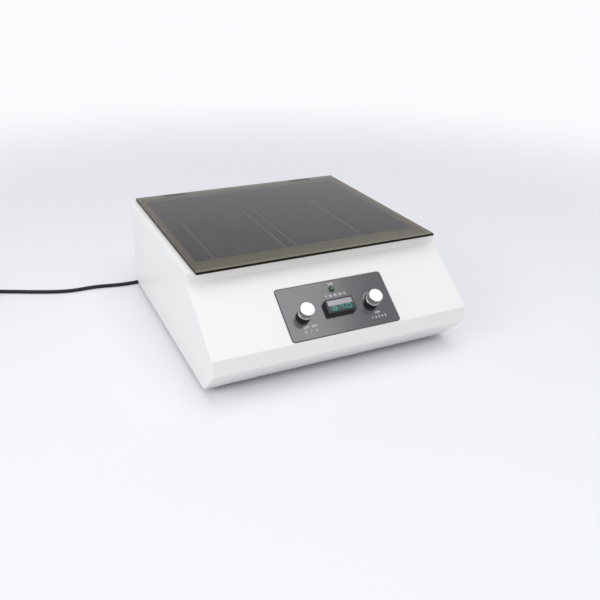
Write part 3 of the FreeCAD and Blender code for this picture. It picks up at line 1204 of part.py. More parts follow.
def belt_loop(extra):
    """The closed line of an open belt round both pulleys, at a distance from their faces."""
    big, small = size("driven_round") + extra, size("motor_pulley_round") + extra
    apart = size("motor_x")
    lean = math.acos((big - small) / apart)
    spots = []
    for middle, radius, angle in ((0, big, lean), (apart, small, lean), (apart, small, 0),
                                  (apart, small, -lean), (0, big, -lean), (0, big, math.pi)):
        spots.append(Vector(middle + radius * math.cos(angle), radius * math.sin(angle), 0))
    return Part.Wire([
        Part.LineSegment(spots[0], spots[1]).toShape(),
        Part.Arc(spots[1], spots[2], spots[3]).toShape(),
        Part.LineSegment(spots[3], spots[4]).toShape(),
        Part.Arc(spots[4], spots[5], spots[0]).toShape(),
    ])


# Drive belt: one closed band round the driven pulley and the motor's
belt = doc.addObject("Part::Feature", "Belt")
band_high = size("pulley_high - 2 * pulley_flange_high - 2 * belt_gap")
loops = [belt_loop(size("belt_gap + belt_thick")), belt_loop(size("belt_gap"))]
band = Part.makeFace(loops, "Part::FaceMakerBullseye")
belt.Shape = band.extrude(Vector(0, 0, band_high))
place(belt, "0", "mouth_middle", "pulley_low + pulley_flange_high + belt_gap")
keep(belt, "drive_belt")


# Control board on the pan's standoffs, with relays, capacitors and a finned heat sink
board = new_body("Board")
board_z = "pan_top + board_up"
card = new_sketch(board, "BoardCard", raised=board_z)
rectangle(card, "-board_wide / 2", "board_wide / 2", "-board_deep / 2", "board_deep / 2")
pad(board, card, "board_thick")
on_board = "pan_top + board_up + board_thick"
relays = new_sketch(board, "BoardRelays", raised=on_board)
for step in (0, 1):
    left = f"-board_wide / 2 + board_hole_in + {step} * (relay_wide + board_hole_in / 2)"
    rectangle(relays, left, f"{left} + relay_wide", "board_hole_in", "board_hole_in + relay_deep")
pad(board, relays, "relay_high")
cans = new_sketch(board, "BoardCans", raised=on_board)
for step in (0, 1, 2):
    circle(cans, f"-board_wide / 2 + 2 * board_hole_in + {step} * 3 * can_round",
           "-board_deep / 2 + 3 * board_hole_in", "can_round")
pad(board, cans, "can_high")
sink = new_sketch(board, "BoardSink", raised=on_board)
sink_left, sink_low = "board_wide / 2 - board_hole_in - sink_wide", "-sink_deep / 2"
sink_right = "board_wide / 2 - board_hole_in"
rectangle(sink, sink_left, sink_right, sink_low, f"{sink_low} + fin_thick")
pad(board, sink, "sink_high")
fins = new_sketch(board, "BoardFins", raised=on_board)
for step in range(int(size("fin_count"))):
    left = f"{sink_left} + (sink_wide - fin_thick) * {step} / (fin_count - 1)"
    rectangle(fins, left, f"{left} + fin_thick", f"{sink_low} + fin_thick", "sink_deep / 2")
pad(board, fins, "sink_high")
keep(place(board, "board_x", "board_y"), "control_board")

# Transformer: a laminated core of two windows, and the winding round its middle limb
core = new_body("Core")
core_face = new_sketch(core, "CoreFace", "XZ_Plane")
rectangle(core_face, "-core_wide / 2", "core_wide / 2", "pan_top", "pan_top + core_high")
window_wide_half = "(core_wide / 2 - core_limb)"
for sign in ("-", ""):
    near, far = f"{sign}core_limb", f"{sign}{window_wide_half}"
    rectangle(core_face, near, far, "pan_top + core_limb", "pan_top + core_high - core_limb")
pad(core, core_face, "core_deep", "Symmetric")
place(core, "core_x", "core_y")
winding = new_body("Winding")
turns = new_sketch(winding, "WindingTurns", raised="pan_top + core_limb + coil_play")
reach_x, reach_y = f"{window_wide_half} - coil_play", "core_deep / 2 + coil_swell"
rounded(turns, f"-({reach_x})", reach_x, f"-({reach_y})", reach_y, "coil_swell / 2")
rectangle(turns, "-core_limb", "core_limb", "-core_deep / 2", "core_deep / 2")
pad(winding, turns, "core_high - 2 * core_limb - 2 * coil_play")
place(winding, "core_x", "core_y")
grouped("transformer", [core, winding])

# Terminal block where the lead comes in
block = new_body("Block")
block_base = new_sketch(block, "BlockBase", raised="pan_top")
rectangle(block_base, "-block_wide / 2", "block_wide / 2", "-block_deep / 2", "block_deep / 2")
pad(block, block_base, "block_high")
wells = new_sketch(block, "BlockWells", raised="pan_top + block_high")
for step in range(int(size("block_pole_count"))):
    share = (step + 1 / 2) / int(size("block_pole_count")) - 1 / 2
    for end, y_sign in ENDS:
        circle(wells, f"block_wide * {share}", f"{y_sign}block_deep / 4", "block_well_round")
pocket(block, wells, "block_well_deep")
keep(place(block, "block_x", "block_y"), "terminal_block")


# Cord gland: a flanged strain relief with a tapered, ribbed tail, and a nut inside the wall
tail = [("0", "0"), ("gland_flange_round", "0"), ("gland_flange_round", "gland_flange_thick")]
ribs = int(size("gland_rib_count"))
for step in range(ribs):
    for part, dip in ((0, "0"), (1 / 2, "0"), (1 / 2, "gland_rib_deep"), (1, "gland_rib_deep")):
        share = (step + part) / ribs
        taper = f"(gland_body_round - (gland_body_round - gland_tip_round) * {share})"
        tail.append((f"{taper} - {dip}", f"gland_flange_thick + gland_tail_long * {share}"))
tail += [("0", "gland_flange_thick + gland_tail_long")]
gland = turned("Gland", tail)
shank = new_sketch(gland, "GlandShank")
circle(shank, "0", "0", "gland_body_round")
pad(gland, shank, "sheet_thick", reverse=True)
nut_face = new_sketch(gland, "GlandNut", raised="-sheet_thick")
reach, half_flat = "gland_nut_across / 2", "gland_nut_across / 2 * tan(30)"
outline(nut_face, [
    (half_flat, reach), (f"-{half_flat}", reach), (f"-2 * {half_flat}", "0"),
    (f"-{half_flat}", f"-{reach}"), (half_flat, f"-{reach}"), (f"2 * {half_flat}", "0"),
])
pad(gland, nut_face, "gland_nut_thick", reverse=True)
turn(gland, (1, 0, 0), -90)
keep(place(gland, "gland_x", "back_y", "gland_up"), "cord_gland")


def bend(start, corner, end):
    """The arc that leaves start towards corner and arrives at end, equally far from corner."""
    leg = (start - corner).Length
    middle = (start - corner).normalize() + (end - corner).normalize()
    half = middle.Length / 2
    middle.normalize()
    radius = leg * math.sqrt(1 - half * half) / half
    return Part.Arc(start, corner + middle * (leg / half - radius), end).toShape(), radius


def lead_path(points):
    """Straight runs joined by tangent arcs, each as large as its two runs allow."""
    edges, radii, here = [], [], points[0]
    for before, corner, after in zip(points, points[1:], points[2:]):
        leg = RUN_SHARE * min((corner - before).Length, (after - corner).Length)
        start = corner + (before - corner).normalize() * leg
        end = corner + (after - corner).normalize() * leg
        edges.append(Part.LineSegment(here, start).toShape())
        arc, radius = bend(start, corner, end)
        edges.append(arc)
        radii.append(round(radius, 1))
        here = end
    edges.append(Part.LineSegment(here, points[-1]).toShape())
    return Part.Wire(edges), radii


def tube_along(path):
    """A round tube of the lead's thickness along a path, its volume set against its length."""
    edge = path.Edges[0]
    start = edge.valueAt(edge.FirstParameter)
    ring = Part.Circle(start, edge.tangentAt(edge.FirstParameter), size("lead_round")).toShape()
    tube = path.makePipeShell([Part.Wire([ring])], True, False)
    share = tube.Volume / (math.pi * size("lead_round") ** 2 * path.Length)
    print("tube length", round(path.Length, 1), "volume share", round(share, 4))
    return tube


# Free stretch of the mains lead
RUN_SHARE = 0.45
route = [Vector(size("gland_x"), size("gland_end"), size("gland_up"))]
route += [Vector(*point) for point in LEAD_ROUTE]
run_path, run_radii = lead_path(route)
print("lead radii", run_radii)
print("lead runs", [round((b - a).Length, 1) for a, b in zip(route, route[1:])])
lead = doc.addObject("Part::Feature", "Lead")
lead.Shape = tube_along(run_path)
keep(lead, "mains_lead")

# Put-away length: a neat coil that winds in along the floor, climbs a layer at its inner turn
# and winds out again above; each step between two of its points is a pair of arcs.
COIL_STEPS = 22
COIL_TURNS = 5.31
arrive = (route[-1] - route[-2]).normalize()
coil_start = route[-1] + arrive * size("lead_thick")
first_angle = math.atan2(-arrive.x, arrive.y)
outer, pitch = size("coil_outer_turn"), size("coil_pitch")
coil_middle = coil_start - Vector(math.cos(first_angle), math.sin(first_angle), 0) * outer


def coil_point(share):
    """A point of the coil and its direction, for a share of the coil's whole turning."""
    turned_by = share * COIL_TURNS * 2 * math.pi
    angle = first_angle + turned_by
    inwards = min(share, 1 - share) * COIL_TURNS
    radius = outer - pitch * inwards
    slope = 0
    if 0 < share < 1 / 2:
        slope = -pitch / (2 * math.pi)
    if 1 / 2 < share < 1:
        slope = pitch / (2 * math.pi)
    climb_half = 1 / 4 / COIL_TURNS
    rise = min(max((share - 1 / 2 + climb_half) / (2 * climb_half), 0), 1)
    up = rise * rise * (3 - 2 * rise)
    steep = 6 * rise * (1 - rise) * pitch / math.pi
    outward = Vector(math.cos(angle), math.sin(angle), 0)
    onward = Vector(-math.sin(angle), math.cos(angle), 0)
    point = coil_middle + outward * radius + Vector(0, 0, pitch * up)
    direction = onward * radius + outward * slope + Vector(0, 0, steep)
    return point, direction.normalize()


def two_arcs(start, leaving, end, arriving):
    """A pair of arcs from start to end that keep both directions and meet smoothly."""
    across = end - start
    both = leaving + arriving
    square = 2 * (leaving.dot(arriving) - 1)
    if abs(square) < 1e-9:
        leg = across.dot(across) / (2 * across.dot(both))
    else:
        middle = across.dot(both)
        leg = (middle - math.sqrt(middle * middle - square * across.dot(across))) / square
    knees = start + leaving * leg, end - arriving * leg
    meet = (knees[0] + knees[1]) * (1 / 2)
    return [bend(start, knees[0], meet), bend(meet, knees[1], end)]


coil_edges = [Part.LineSegment(route[-1], coil_start).toShape()]
coil_radii = []
climb = 1 / 2 / COIL_TURNS
shares = [step / COIL_STEPS * (1 / 2 - climb / 2) for step in range(COIL_STEPS // 2 + 1)]
shares = [share * 2 for share in shares]
inner_steps = [1 / 2 - climb / 4, 1 / 2, 1 / 2 + climb / 4]
shares = shares + inner_steps + [1 - share for share in reversed(shares)]
here, facing = coil_point(0)
facing = arrive
for share in shares[1:]:
    there, onward = coil_point(share)
    for arc, radius in two_arcs(here, facing, there, onward):
        coil_edges.append(arc)
        coil_radii.append(round(radius, 1))
    here, facing = there, onward
coil_end = here + facing * size("coil_tail")
coil_edges.append(Part.LineSegment(here, coil_end).toShape())
coil_path = Part.Wire(coil_edges)
print("coil radii", min(coil_radii), max(coil_radii), "coil edges", len(coil_edges))


def least_gap(path, apart):
    """The least gap between parts of a tube that lie further apart than that along it."""
    points = path.discretize(Distance=apart / 12)
    step = path.Length / len(points[1:])
    skip = int(apart / step) + 1
    least = None
    for number, point in enumerate(points):
        for other in points[number + skip:]:
            gap = (point - other).Length
            if least is None or gap < least:
                least = gap
    return least - size("lead_thick")


print("coil least gap", round(least_gap(coil_path, size("coil_outer_turn")), 3))
coil = doc.addObject("Part::Feature", "Coil")
coil.Shape = tube_along(coil_path)
keep(coil, "lead_coil")


# Moulded plug on the coil's end: a neck, a rounded body, two blades and an earth pin
def on_coil_end(thing):
    """Point a thing's own Z along the end of the coil, lying on the floor."""
    thing.Placement = Placement(coil_end, Rotation(Vector(0, 0, 1), facing))
    return thing


plug = turned("Plug", [
    ("0", "0"), ("lead_round + gland_rib_deep", "0"), ("plug_neck_round", "plug_neck_long / 2"),
    ("plug_neck_round + gland_rib_deep", "plug_neck_long"), ("0", "plug_neck_long"),
])
plug_face = new_sketch(plug, "PlugFace", raised="plug_neck_long")
rounded(plug_face, "-plug_wide / 2", "plug_wide / 2", "-plug_high / 2", "plug_high / 2",
        "plug_round")
pad(plug, plug_face, "plug_long")
soften(plug, "plug_round / 2", lambda edge: lies_at(edge, "z", "plug_neck_long + plug_long")
       or (lies_at(edge, "z", "plug_neck_long") and edge.Length > size("plug_round") * 2
           and edge.Curve.TypeId == "Part::GeomLine"))
keep(on_coil_end(plug), "mains_plug")

blades = new_body("Blades")
face_at = "plug_neck_long + plug_long"
for side, sign in SIDES:
    blade = new_sketch(blades, "Blade" + side, raised=face_at)
    rectangle(blade, f"{sign}blade_from_middle - blade_thick / 2",
              f"{sign}blade_from_middle + blade_thick / 2",
              "blade_off - blade_wide / 2", "blade_off + blade_wide / 2")
    pad(blades, blade, "blade_long")
earth = new_sketch(blades, "Earth", raised=face_at)
circle(earth, "0", "-earth_off", "earth_round")
pad(blades, earth, "earth_long")
keep(on_coil_end(blades), "plug_pins")


doc.recompute()
for thing in doc.Objects:
    if "Invalid" in thing.State or "Error" in thing.State:
        raise RuntimeError(f"{thing.Label} failed: {thing.State}")
for thing in nodes:
    if thing.Shape.isNull() or not thing.Shape.isValid():
        raise RuntimeError(f"{thing.Label} has no valid shape")
for thing in nodes:
    thing.Shape.exportStep(f"parts/{thing.Label}.step")
print(len(nodes), "nodes")
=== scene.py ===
import math

import bpy
from mathutils import Matrix, Vector


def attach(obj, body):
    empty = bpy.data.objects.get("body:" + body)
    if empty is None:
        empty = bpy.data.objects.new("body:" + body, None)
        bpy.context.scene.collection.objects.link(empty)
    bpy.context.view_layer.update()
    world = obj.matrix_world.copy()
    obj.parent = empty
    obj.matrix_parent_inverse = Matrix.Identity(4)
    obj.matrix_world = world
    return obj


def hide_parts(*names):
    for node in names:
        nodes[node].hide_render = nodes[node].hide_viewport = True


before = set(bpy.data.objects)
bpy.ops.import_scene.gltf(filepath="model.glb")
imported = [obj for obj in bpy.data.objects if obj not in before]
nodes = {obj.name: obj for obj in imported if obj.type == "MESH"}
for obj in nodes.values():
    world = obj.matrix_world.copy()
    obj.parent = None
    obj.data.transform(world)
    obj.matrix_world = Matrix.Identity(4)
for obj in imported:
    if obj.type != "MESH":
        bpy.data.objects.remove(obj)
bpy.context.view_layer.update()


# The studio: a wide pale table that runs out to white, one large soft box above the front and
# another on the left, and an even white room around them. The camera stands at the photograph's
# angle, to the left of the front and above the lid.
stands_at = (-0.4655, -1.0339, 0.5898)
turned_right, looks_down, leans = 25.63, 26.32, 0.99
camera = bpy.data.objects.new("Camera", bpy.data.cameras.new("Camera"))
bpy.context.scene.collection.objects.link(camera)
camera.data.sensor_width = 36
camera.data.lens = 41.05
camera.data.clip_end = 200
camera.matrix_world = (
    Matrix.Translation(stands_at)
    @ Matrix.Rotation(math.radians(-turned_right), 4, "Z")
    @ Matrix.Rotation(math.radians(90 - looks_down), 4, "X")
    @ Matrix.Rotation(math.radians(leans), 4, "Z")
)
bpy.context.scene.camera = camera
bpy.context.scene.view_settings.view_transform = "Standard"


def add_node(tree, kind, sockets=None, **settings):
    """A new shader node; each named socket takes a value, or the output that feeds it."""
    node = tree.nodes.new("ShaderNode" + kind)
    for words, value in settings.items():
        setattr(node, words, value)
    for which, value in (sockets or {}).items():
        if isinstance(value, bpy.types.NodeSocket):
            tree.links.new(value, node.inputs[which])
        else:
            node.inputs[which].default_value = value
    return node


def surface(name, colour, **settings):
    """A material whose Principled shader has these plain values."""
    material = bpy.data.materials.new(name)
    material.use_nodes = True
    shader = material.node_tree.nodes["Principled BSDF"]
    shader.inputs["Base Color"].default_value = (*colour, 1)
    for words, value in settings.items():
        shader.inputs[words.replace("_", " ")].default_value = value
    return material


def soft_box(name, place, aim, across, watts):
    """A rectangular lamp at this place that faces the aim."""
    lamp = bpy.data.lights.new(name, "AREA")
    lamp.shape = "RECTANGLE"
    lamp.size, lamp.size_y = across
    lamp.energy = watts
    stand = bpy.data.objects.new(name, lamp)
    bpy.context.scene.collection.objects.link(stand)
    stand.location = place
    stand.rotation_euler = (Vector(aim) - Vector(place)).to_track_quat("-Z", "Y").to_euler()


soft_box("Overhead soft box", (0.15, -0.85, 2.3), aim=(0.15, -0.85, 0), across=(1.9, 2.7), watts=21)
soft_box("Left soft box", (-2.4, -0.9, 1.5), aim=(0, 0, 0.1), across=(1.6, 1.4), watts=20)

room = bpy.data.worlds.new("White room")
bpy.context.scene.world = room
room.use_nodes = True
tree = room.node_tree
room_light = tree.nodes["Background"]
room_light.inputs["Color"].default_value = (0.96, 0.97, 1.0, 1)
room_light.inputs["Strength"].default_value = 0.67
backdrop = add_node(tree, "Background", {"Color": (0.905, 0.915, 0.955, 1)})
ray = add_node(tree, "LightPath")
seen_or_mirrored = add_node(
    tree, "Math", {0: ray.outputs["Is Camera Ray"], 1: ray.outputs["Is Glossy Ray"]},
    operation="MAXIMUM")
seen_at_all = add_node(
    tree, "Math", {0: seen_or_mirrored.outputs["Value"], 1: ray.outputs["Is Transmission Ray"]},
    operation="MAXIMUM")
either = add_node(
    tree, "MixShader",
    {"Fac": seen_at_all.outputs["Value"], 1: room_light.outputs["Background"],
     2: backdrop.outputs["Background"]})
tree.links.new(either.outputs["Shader"], tree.nodes["World Output"].inputs["Surface"])

bpy.ops.object.select_all(action="DESELECT")
bpy.ops.mesh.primitive_circle_add(vertices=96, radius=40, fill_type="NGON", location=(0, 0, 0))
table_top = bpy.context.object
table_top.name = "table_top"
fades_from, fades_to = 0.75, 2.2
paper = surface("Table paper", (0.86, 0.87, 0.90), Roughness=0.9, Specular_IOR_Level=0.1)
tree = paper.node_tree
far_white = add_node(tree, "Emission", {"Color": (0.955, 0.96, 0.985, 1)})
place = add_node(tree, "TexCoord")
reach = add_node(tree, "VectorMath", {0: place.outputs["Object"]}, operation="LENGTH")
fade = add_node(
    tree, "MapRange",
    {"Value": reach.outputs["Value"], "From Min": fades_from, "From Max": fades_to},
    interpolation_type="SMOOTHSTEP")
blend = add_node(
    tree, "MixShader",
    {"Fac": fade.outputs["Result"], 1: tree.nodes["Principled BSDF"].outputs["BSDF"],
     2: far_white.outputs["Emission"]})
tree.links.new(blend.outputs["Shader"], tree.nodes["Material Output"].inputs["Surface"])
table_top.data.materials.append(paper)


# Base pan: a zinc plated sheet that closes the casing from below and carries the deck and the
# electrics. Four moulded rubber feet are screwed to its underside.
skin = bpy.data.node_groups.new("Grain and drift", "ShaderNodeTree")
for words, kind, value in (
    ("Colour", "Color", (0.5, 0.5, 0.5, 1)), ("Tone drift", "Float", 0.04),
    ("Grain per metre", "Float", 1500), ("Grain depth", "Float", 0.00004),
    ("Roughness", "Float", 0.5), ("Gloss drift", "Float", 0.08), ("Stretch", "Vector", (1, 1, 1)),
):
    socket = skin.interface.new_socket(words, in_out="INPUT", socket_type="NodeSocket" + kind)
    socket.default_value = value
for words, kind in (("Colour", "Color"), ("Roughness", "Float"), ("Normal", "Vector")):
    skin.interface.new_socket(words, in_out="OUTPUT", socket_type="NodeSocket" + kind)
given = skin.nodes.new("NodeGroupInput")
wanted = skin.nodes.new("NodeGroupOutput")
where = add_node(skin, "TexCoord")
stretched = add_node(
    skin, "VectorMath", {0: where.outputs["Object"], 1: given.outputs["Stretch"]},
    operation="MULTIPLY")
grain = add_node(
    skin, "TexNoise",
    {"Vector": stretched.outputs["Vector"], "Scale": given.outputs["Grain per metre"],
     "Detail": 3})
relief = add_node(
    skin, "Bump",
    {"Height": grain.outputs["Fac"], "Distance": given.outputs["Grain depth"], "Strength": 1})
drift = add_node(
    skin, "TexNoise",
    {"Vector": where.outputs["Object"], "Scale": 9, "Detail": 5, "Roughness": 0.6})
from_middle = add_node(skin, "Math", {0: drift.outputs["Fac"], 1: 0.5}, operation="SUBTRACT")
gloss = add_node(
    skin, "Math",
    {0: from_middle.outputs["Value"], 1: given.outputs["Gloss drift"],
     2: given.outputs["Roughness"]},
    operation="MULTIPLY_ADD", use_clamp=True)
tone = add_node(
    skin, "Math", {0: from_middle.outputs["Value"], 1: given.outputs["Tone drift"], 2: 1},
    operation="MULTIPLY_ADD")
toned = add_node(
    skin, "VectorMath", {0: given.outputs["Colour"], "Scale": tone.outputs["Value"]},
    operation="SCALE")
skin.links.new(toned.outputs["Vector"], wanted.inputs["Colour"])
skin.links.new(gloss.outputs["Value"], wanted.inputs["Roughness"])
skin.links.new(relief.outputs["Normal"], wanted.inputs["Normal"])


def with_skin(name, colour, roughness, grain_per_metre, grain_depth, tone_drift=0.06,
              gloss_drift=0.12, stretch=(1, 1, 1), **settings):
    """A finish with fine grain and a slow drift of tone and gloss."""
    material = surface(name, colour, **settings)
    tree = material.node_tree
    effect = add_node(
        tree, "Group",
        {"Colour": (*colour, 1), "Tone drift": tone_drift, "Grain per metre": grain_per_metre,
         "Grain depth": grain_depth, "Roughness": roughness, "Gloss drift": gloss_drift,
         "Stretch": stretch},
        node_tree=skin)
    shader = tree.nodes["Principled BSDF"]
    tree.links.new(effect.outputs["Colour"], shader.inputs["Base Color"])
    tree.links.new(effect.outputs["Roughness"], shader.inputs["Roughness"])
    tree.links.new(effect.outputs["Normal"], shader.inputs["Normal"])
    return material


def dress(node_name, material, edge=0.0):
    """Give a CAD node its finish: joined faces, softened edges if asked, and smooth rounds."""
    thing = nodes[node_name]
    thing.data.materials.clear()
    thing.data.materials.append(material)
    thing.data.polygons.foreach_set("use_smooth", [True] * len(thing.data.polygons))
    joined = thing.modifiers.new("Joined", "WELD")
    joined.merge_threshold = 0.00001
    if edge:
        flats = thing.modifiers.new("Flats joined", "DECIMATE")
        flats.decimate_type = "DISSOLVE"
        flats.angle_limit = math.radians(0.4)
        softened = thing.modifiers.new("Softened", "BEVEL")
        softened.width = edge
        softened.segments = 2
        softened.limit_method = "ANGLE"
        softened.angle_limit = math.radians(50)
        softened.use_clamp_overlap = True
    parted = thing.modifiers.new("Parted", "EDGE_SPLIT")
    parted.split_angle = math.radians(28)
    flat_first = thing.modifiers.new("Flat first", "WEIGHTED_NORMAL")
    flat_first.weight = 100
    return thing


zinc = with_skin("Zinc plated sheet", (0.56, 0.57, 0.60), roughness=0.4, grain_per_metre=90,
                 grain_depth=0.00001, tone_drift=0.2, Metallic=1.0)
dress("base_pan", zinc)
foot_rubber = with_skin("Foot rubber", (0.016, 0.016, 0.016), roughness=0.75,
                        grain_per_metre=2500, grain_depth=0.00006)
dress("rubber_feet", foot_rubber)
screw_steel = with_skin("Bright screw steel", (0.62, 0.62, 0.63), roughness=0.28,
                        grain_per_metre=1500, grain_depth=0.00001, Metallic=1.0)
dress("foot_screws", screw_steel)


# Drive: on a zinc plated deck that stands on four columns. The motor's belt turns the crank,
# which carries the platform round, and four idler cranks with the same throw keep it from
# turning. The shafts are ground steel, the housings, pulleys and motor body cast or drawn.
for node_name in ("deck_columns", "motor_spacers"):
    dress(node_name, screw_steel)
dress("mechanism_deck", zinc)
ground_steel = with_skin("Ground steel", (0.58, 0.59, 0.61), roughness=0.25,
                         grain_per_metre=700, grain_depth=0.00001, Metallic=1.0)
for node_name in ("drive_crank", "main_bearings", "idler_bearings", "motor_shaft",
                  "front_left_idler", "front_right_idler", "rear_left_idler", "rear_right_idler"):
    dress(node_name, ground_steel)
cast_alloy = with_skin("Cast alloy", (0.55, 0.56, 0.57), roughness=0.5, grain_per_metre=1100,
                       grain_depth=0.00006, Metallic=1.0)
for node_name in ("bearing_housing", "idler_housings", "driven_pulley", "motor_pulley"):
    dress(node_name, cast_alloy)
dark_iron = with_skin("Dark iron", (0.10, 0.095, 0.09), roughness=0.5, grain_per_metre=1100,
                      grain_depth=0.00006, Metallic=0.5)
dress("counterweight", dark_iron)
motor_paint = with_skin("Motor paint", (0.03, 0.03, 0.032), roughness=0.4,
                        grain_per_metre=1500, grain_depth=0.00003)
dress("drive_motor", motor_paint)
belt_rubber = with_skin("Belt rubber", (0.014, 0.014, 0.014), roughness=0.7,
                        grain_per_metre=2500, grain_depth=0.00006)
dress("drive_belt", belt_rubber)


# Electrics on the base pan: a green circuit board, a transformer with an iron core, and a block
# of pale nylon terminals for the mains lead.
board_green = with_skin("Board green", (0.02, 0.13, 0.05), roughness=0.4, grain_per_metre=1500,
                        grain_depth=0.00002)
dress("control_board", board_green)
dress("transformer", dark_iron)
block_nylon = with_skin("Block nylon", (0.62, 0.60, 0.54), roughness=0.5, grain_per_metre=1500,
                        grain_depth=0.00003)
dress("terminal_block", block_nylon)


# Outer casing: 1.5 mm sheet steel, folded and spot welded, with an off-white powder coat
# that has a very fine orange peel. Its openings for the controls, vents and gland are cut
# before it is folded, so their edges carry the same coat.
powder_coat = with_skin("Off-white powder coat", (0.83, 0.825, 0.81), roughness=0.42,
                        grain_per_metre=900, grain_depth=0.00003, tone_drift=0.015,
                        gloss_drift=0.10, Specular_IOR_Level=0.45)
dress("outer_casing", powder_coat)
blackened_steel = with_skin("Blackened screw steel", (0.03, 0.03, 0.03), roughness=0.35,
                            grain_per_metre=3000, grain_depth=0.00001, Metallic=0.6)
dress("casing_screws", blackened_steel)


# Chamber: a tray drawn from one sheet and painted dark, with a silicone heater mat under its
# floor, a cut-out pressed against the mat and a probe through the front wall.
tray_paint = with_skin("Tray paint", (0.030, 0.030, 0.034), roughness=0.45, grain_per_metre=900,
                       grain_depth=0.00003)
dress("chamber_tray", tray_paint)
heater_silicone = with_skin("Heater silicone", (0.42, 0.12, 0.05), roughness=0.6,
                            grain_per_metre=1500, grain_depth=0.00005)
dress("heater_mat", heater_silicone)
black_plastic = with_skin("Black moulded plastic", (0.013, 0.013, 0.014), roughness=0.30,
                          grain_per_metre=2400, grain_depth=0.00002)
dress("thermal_cutout", black_plastic)
dress("temperature_probe", screw_steel)


# Platform: a brushed and dark anodised aluminium carrier plate on its own bearings, with two
# folded and painted plate channels screwed to it. The top edges of the channels' rails are
# coloured pale.
anodised = with_skin("Dark anodised aluminium", (0.06, 0.06, 0.065), roughness=0.38,
                     grain_per_metre=260, grain_depth=0.00002, stretch=(1, 18, 18), Metallic=0.8)
dress("carrier_plate", anodised)
dress("platform_bearings", ground_steel)
pale_rim_from, pale_rim_to = 0.1414, 0.1422
channel_paint = with_skin("Channel paint", (0.035, 0.035, 0.040), roughness=0.40,
                          grain_per_metre=900, grain_depth=0.00003)
tree = channel_paint.node_tree
paint_shader = tree.nodes["Principled BSDF"]
paint_colour = paint_shader.inputs["Base Color"].links[0].from_socket
place = add_node(tree, "TexCoord")
apart = add_node(tree, "SeparateXYZ", {"Vector": place.outputs["Object"]})
# The top rims of the rails, over a narrow band of height, are coloured pale.
pale_rim_band = add_node(
    tree, "MapRange", {"Value": apart.outputs["Z"], "From Min": pale_rim_from, "From Max": pale_rim_to})
rim_colour = add_node(
    tree, "Mix",
    {"Factor": pale_rim_band.outputs["Result"], "A": paint_colour, "B": (0.80, 0.79, 0.77, 1)},
    data_type="RGBA")
tree.links.new(rim_colour.outputs["Result"], paint_shader.inputs["Base Color"])
for node_name in ("left_plate_channel", "right_plate_channel"):
    dress(node_name, channel_paint)
dress("channel_screws", screw_steel)


# Mains lead: a black round lead, 7 mm thick and about 1.9 m long. It leaves the gland in the
# back, sinks to the table, comes round the back left corner and runs off to the left, where
# the rest is put away in a neat two-layer coil that ends in the moulded plug.
lead_thick = 0.007
on_table = lead_thick / 2
lead_points = [
    (-0.040, 0.268, 0.034), (-0.040, 0.300, 0.0325), (-0.055, 0.330, 0.020),
    (-0.090, 0.346, 0.0065), (-0.130, 0.332, on_table), (-0.158, 0.298, on_table),
    (-0.180, 0.262, on_table), (-0.212, 0.240, on_table), (-0.256, 0.241, on_table),
    (-0.303, 0.252, on_table), (-0.352, 0.249, on_table), (-0.407, 0.270, on_table),
    (-0.461, 0.296, on_table), (-0.516, 0.3196, on_table),
]
outer_turn, turn_pitch, coil_turns, coil_tail = 0.0485, 0.0075, 5.31, 0.023
run_in = 0.007
arriving = (Vector(lead_points[-1]) - Vector(lead_points[-2])).normalized()
coil_start = Vector(lead_points[-1]) + arriving * run_in
first_angle = math.atan2(-arriving.x, arriving.y)
coil_middle = coil_start - Vector((math.cos(first_angle), math.sin(first_angle), 0)) * outer_turn
points_in_turn = 16
steps = round(coil_turns * points_in_turn)
climb_half = 1 / 4 / coil_turns
for step in range(1, steps):
    share = (step - 0.5) / (steps - 1)
    angle = first_angle + share * coil_turns * 2 * math.pi
    turn_radius = outer_turn - turn_pitch * min(share, 1 - share) * coil_turns
    turn_radius /= math.cos(math.pi / points_in_turn)
    rise = min(max((share - 0.5 + climb_half) / (2 * climb_half), 0), 1)
    up = rise * rise * (3 - 2 * rise)
    lead_points.append((
        coil_middle.x + math.cos(angle) * turn_radius,
        coil_middle.y + math.sin(angle) * turn_radius,
        coil_middle.z + turn_pitch * up,
    ))
last_angle = first_angle + coil_turns * 2 * math.pi
leaving = Vector((-math.sin(last_angle), math.cos(last_angle), 0))
tail_start = coil_middle + Vector((math.cos(last_angle), math.sin(last_angle), 0)) * outer_turn
tail_start.z = coil_middle.z + turn_pitch
for share in (0.35, 1):
    lead_points.append(tuple(tail_start + leaving * coil_tail * share))

lead_curve = bpy.data.curves.new("mains_lead_rubber", "CURVE")
lead_curve.dimensions = "3D"
lead_curve.bevel_depth = lead_thick / 2
lead_curve.bevel_resolution = 5
lead_curve.resolution_u = 8
lead_curve.use_fill_caps = True
lead_spline = lead_curve.splines.new("NURBS")
lead_spline.points.add(len(lead_points) - 1)
for point, spot in zip(lead_spline.points, lead_points):
    point.co = (*spot, 1)
lead_spline.order_u = 3
lead_spline.use_endpoint_u = True
lead = bpy.data.objects.new("mains_lead_rubber", lead_curve)
bpy.context.scene.collection.objects.link(lead)
cord_rubber = with_skin("Cord rubber", (0.008, 0.008, 0.010), roughness=0.48,
                        grain_per_metre=2600, grain_depth=0.00002, Specular_IOR_Level=0.3)
lead_curve.materials.append(cord_rubber)
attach(lead, "casing")
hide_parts("mains_lead", "lead_coil")
plug = dress("mains_plug", cord_rubber, edge=0.0004)
plug_brass = with_skin("Plug brass", (0.72, 0.53, 0.22), roughness=0.28, grain_per_metre=900,
                       grain_depth=0.00001, Metallic=1.0)
blades = dress("plug_pins", plug_brass, edge=0.0003)
gland_nylon = with_skin("Gland nylon", (0.018, 0.018, 0.019), roughness=0.48,
                        grain_per_metre=2200, grain_depth=0.00002)
gland = dress("cord_gland", gland_nylon)
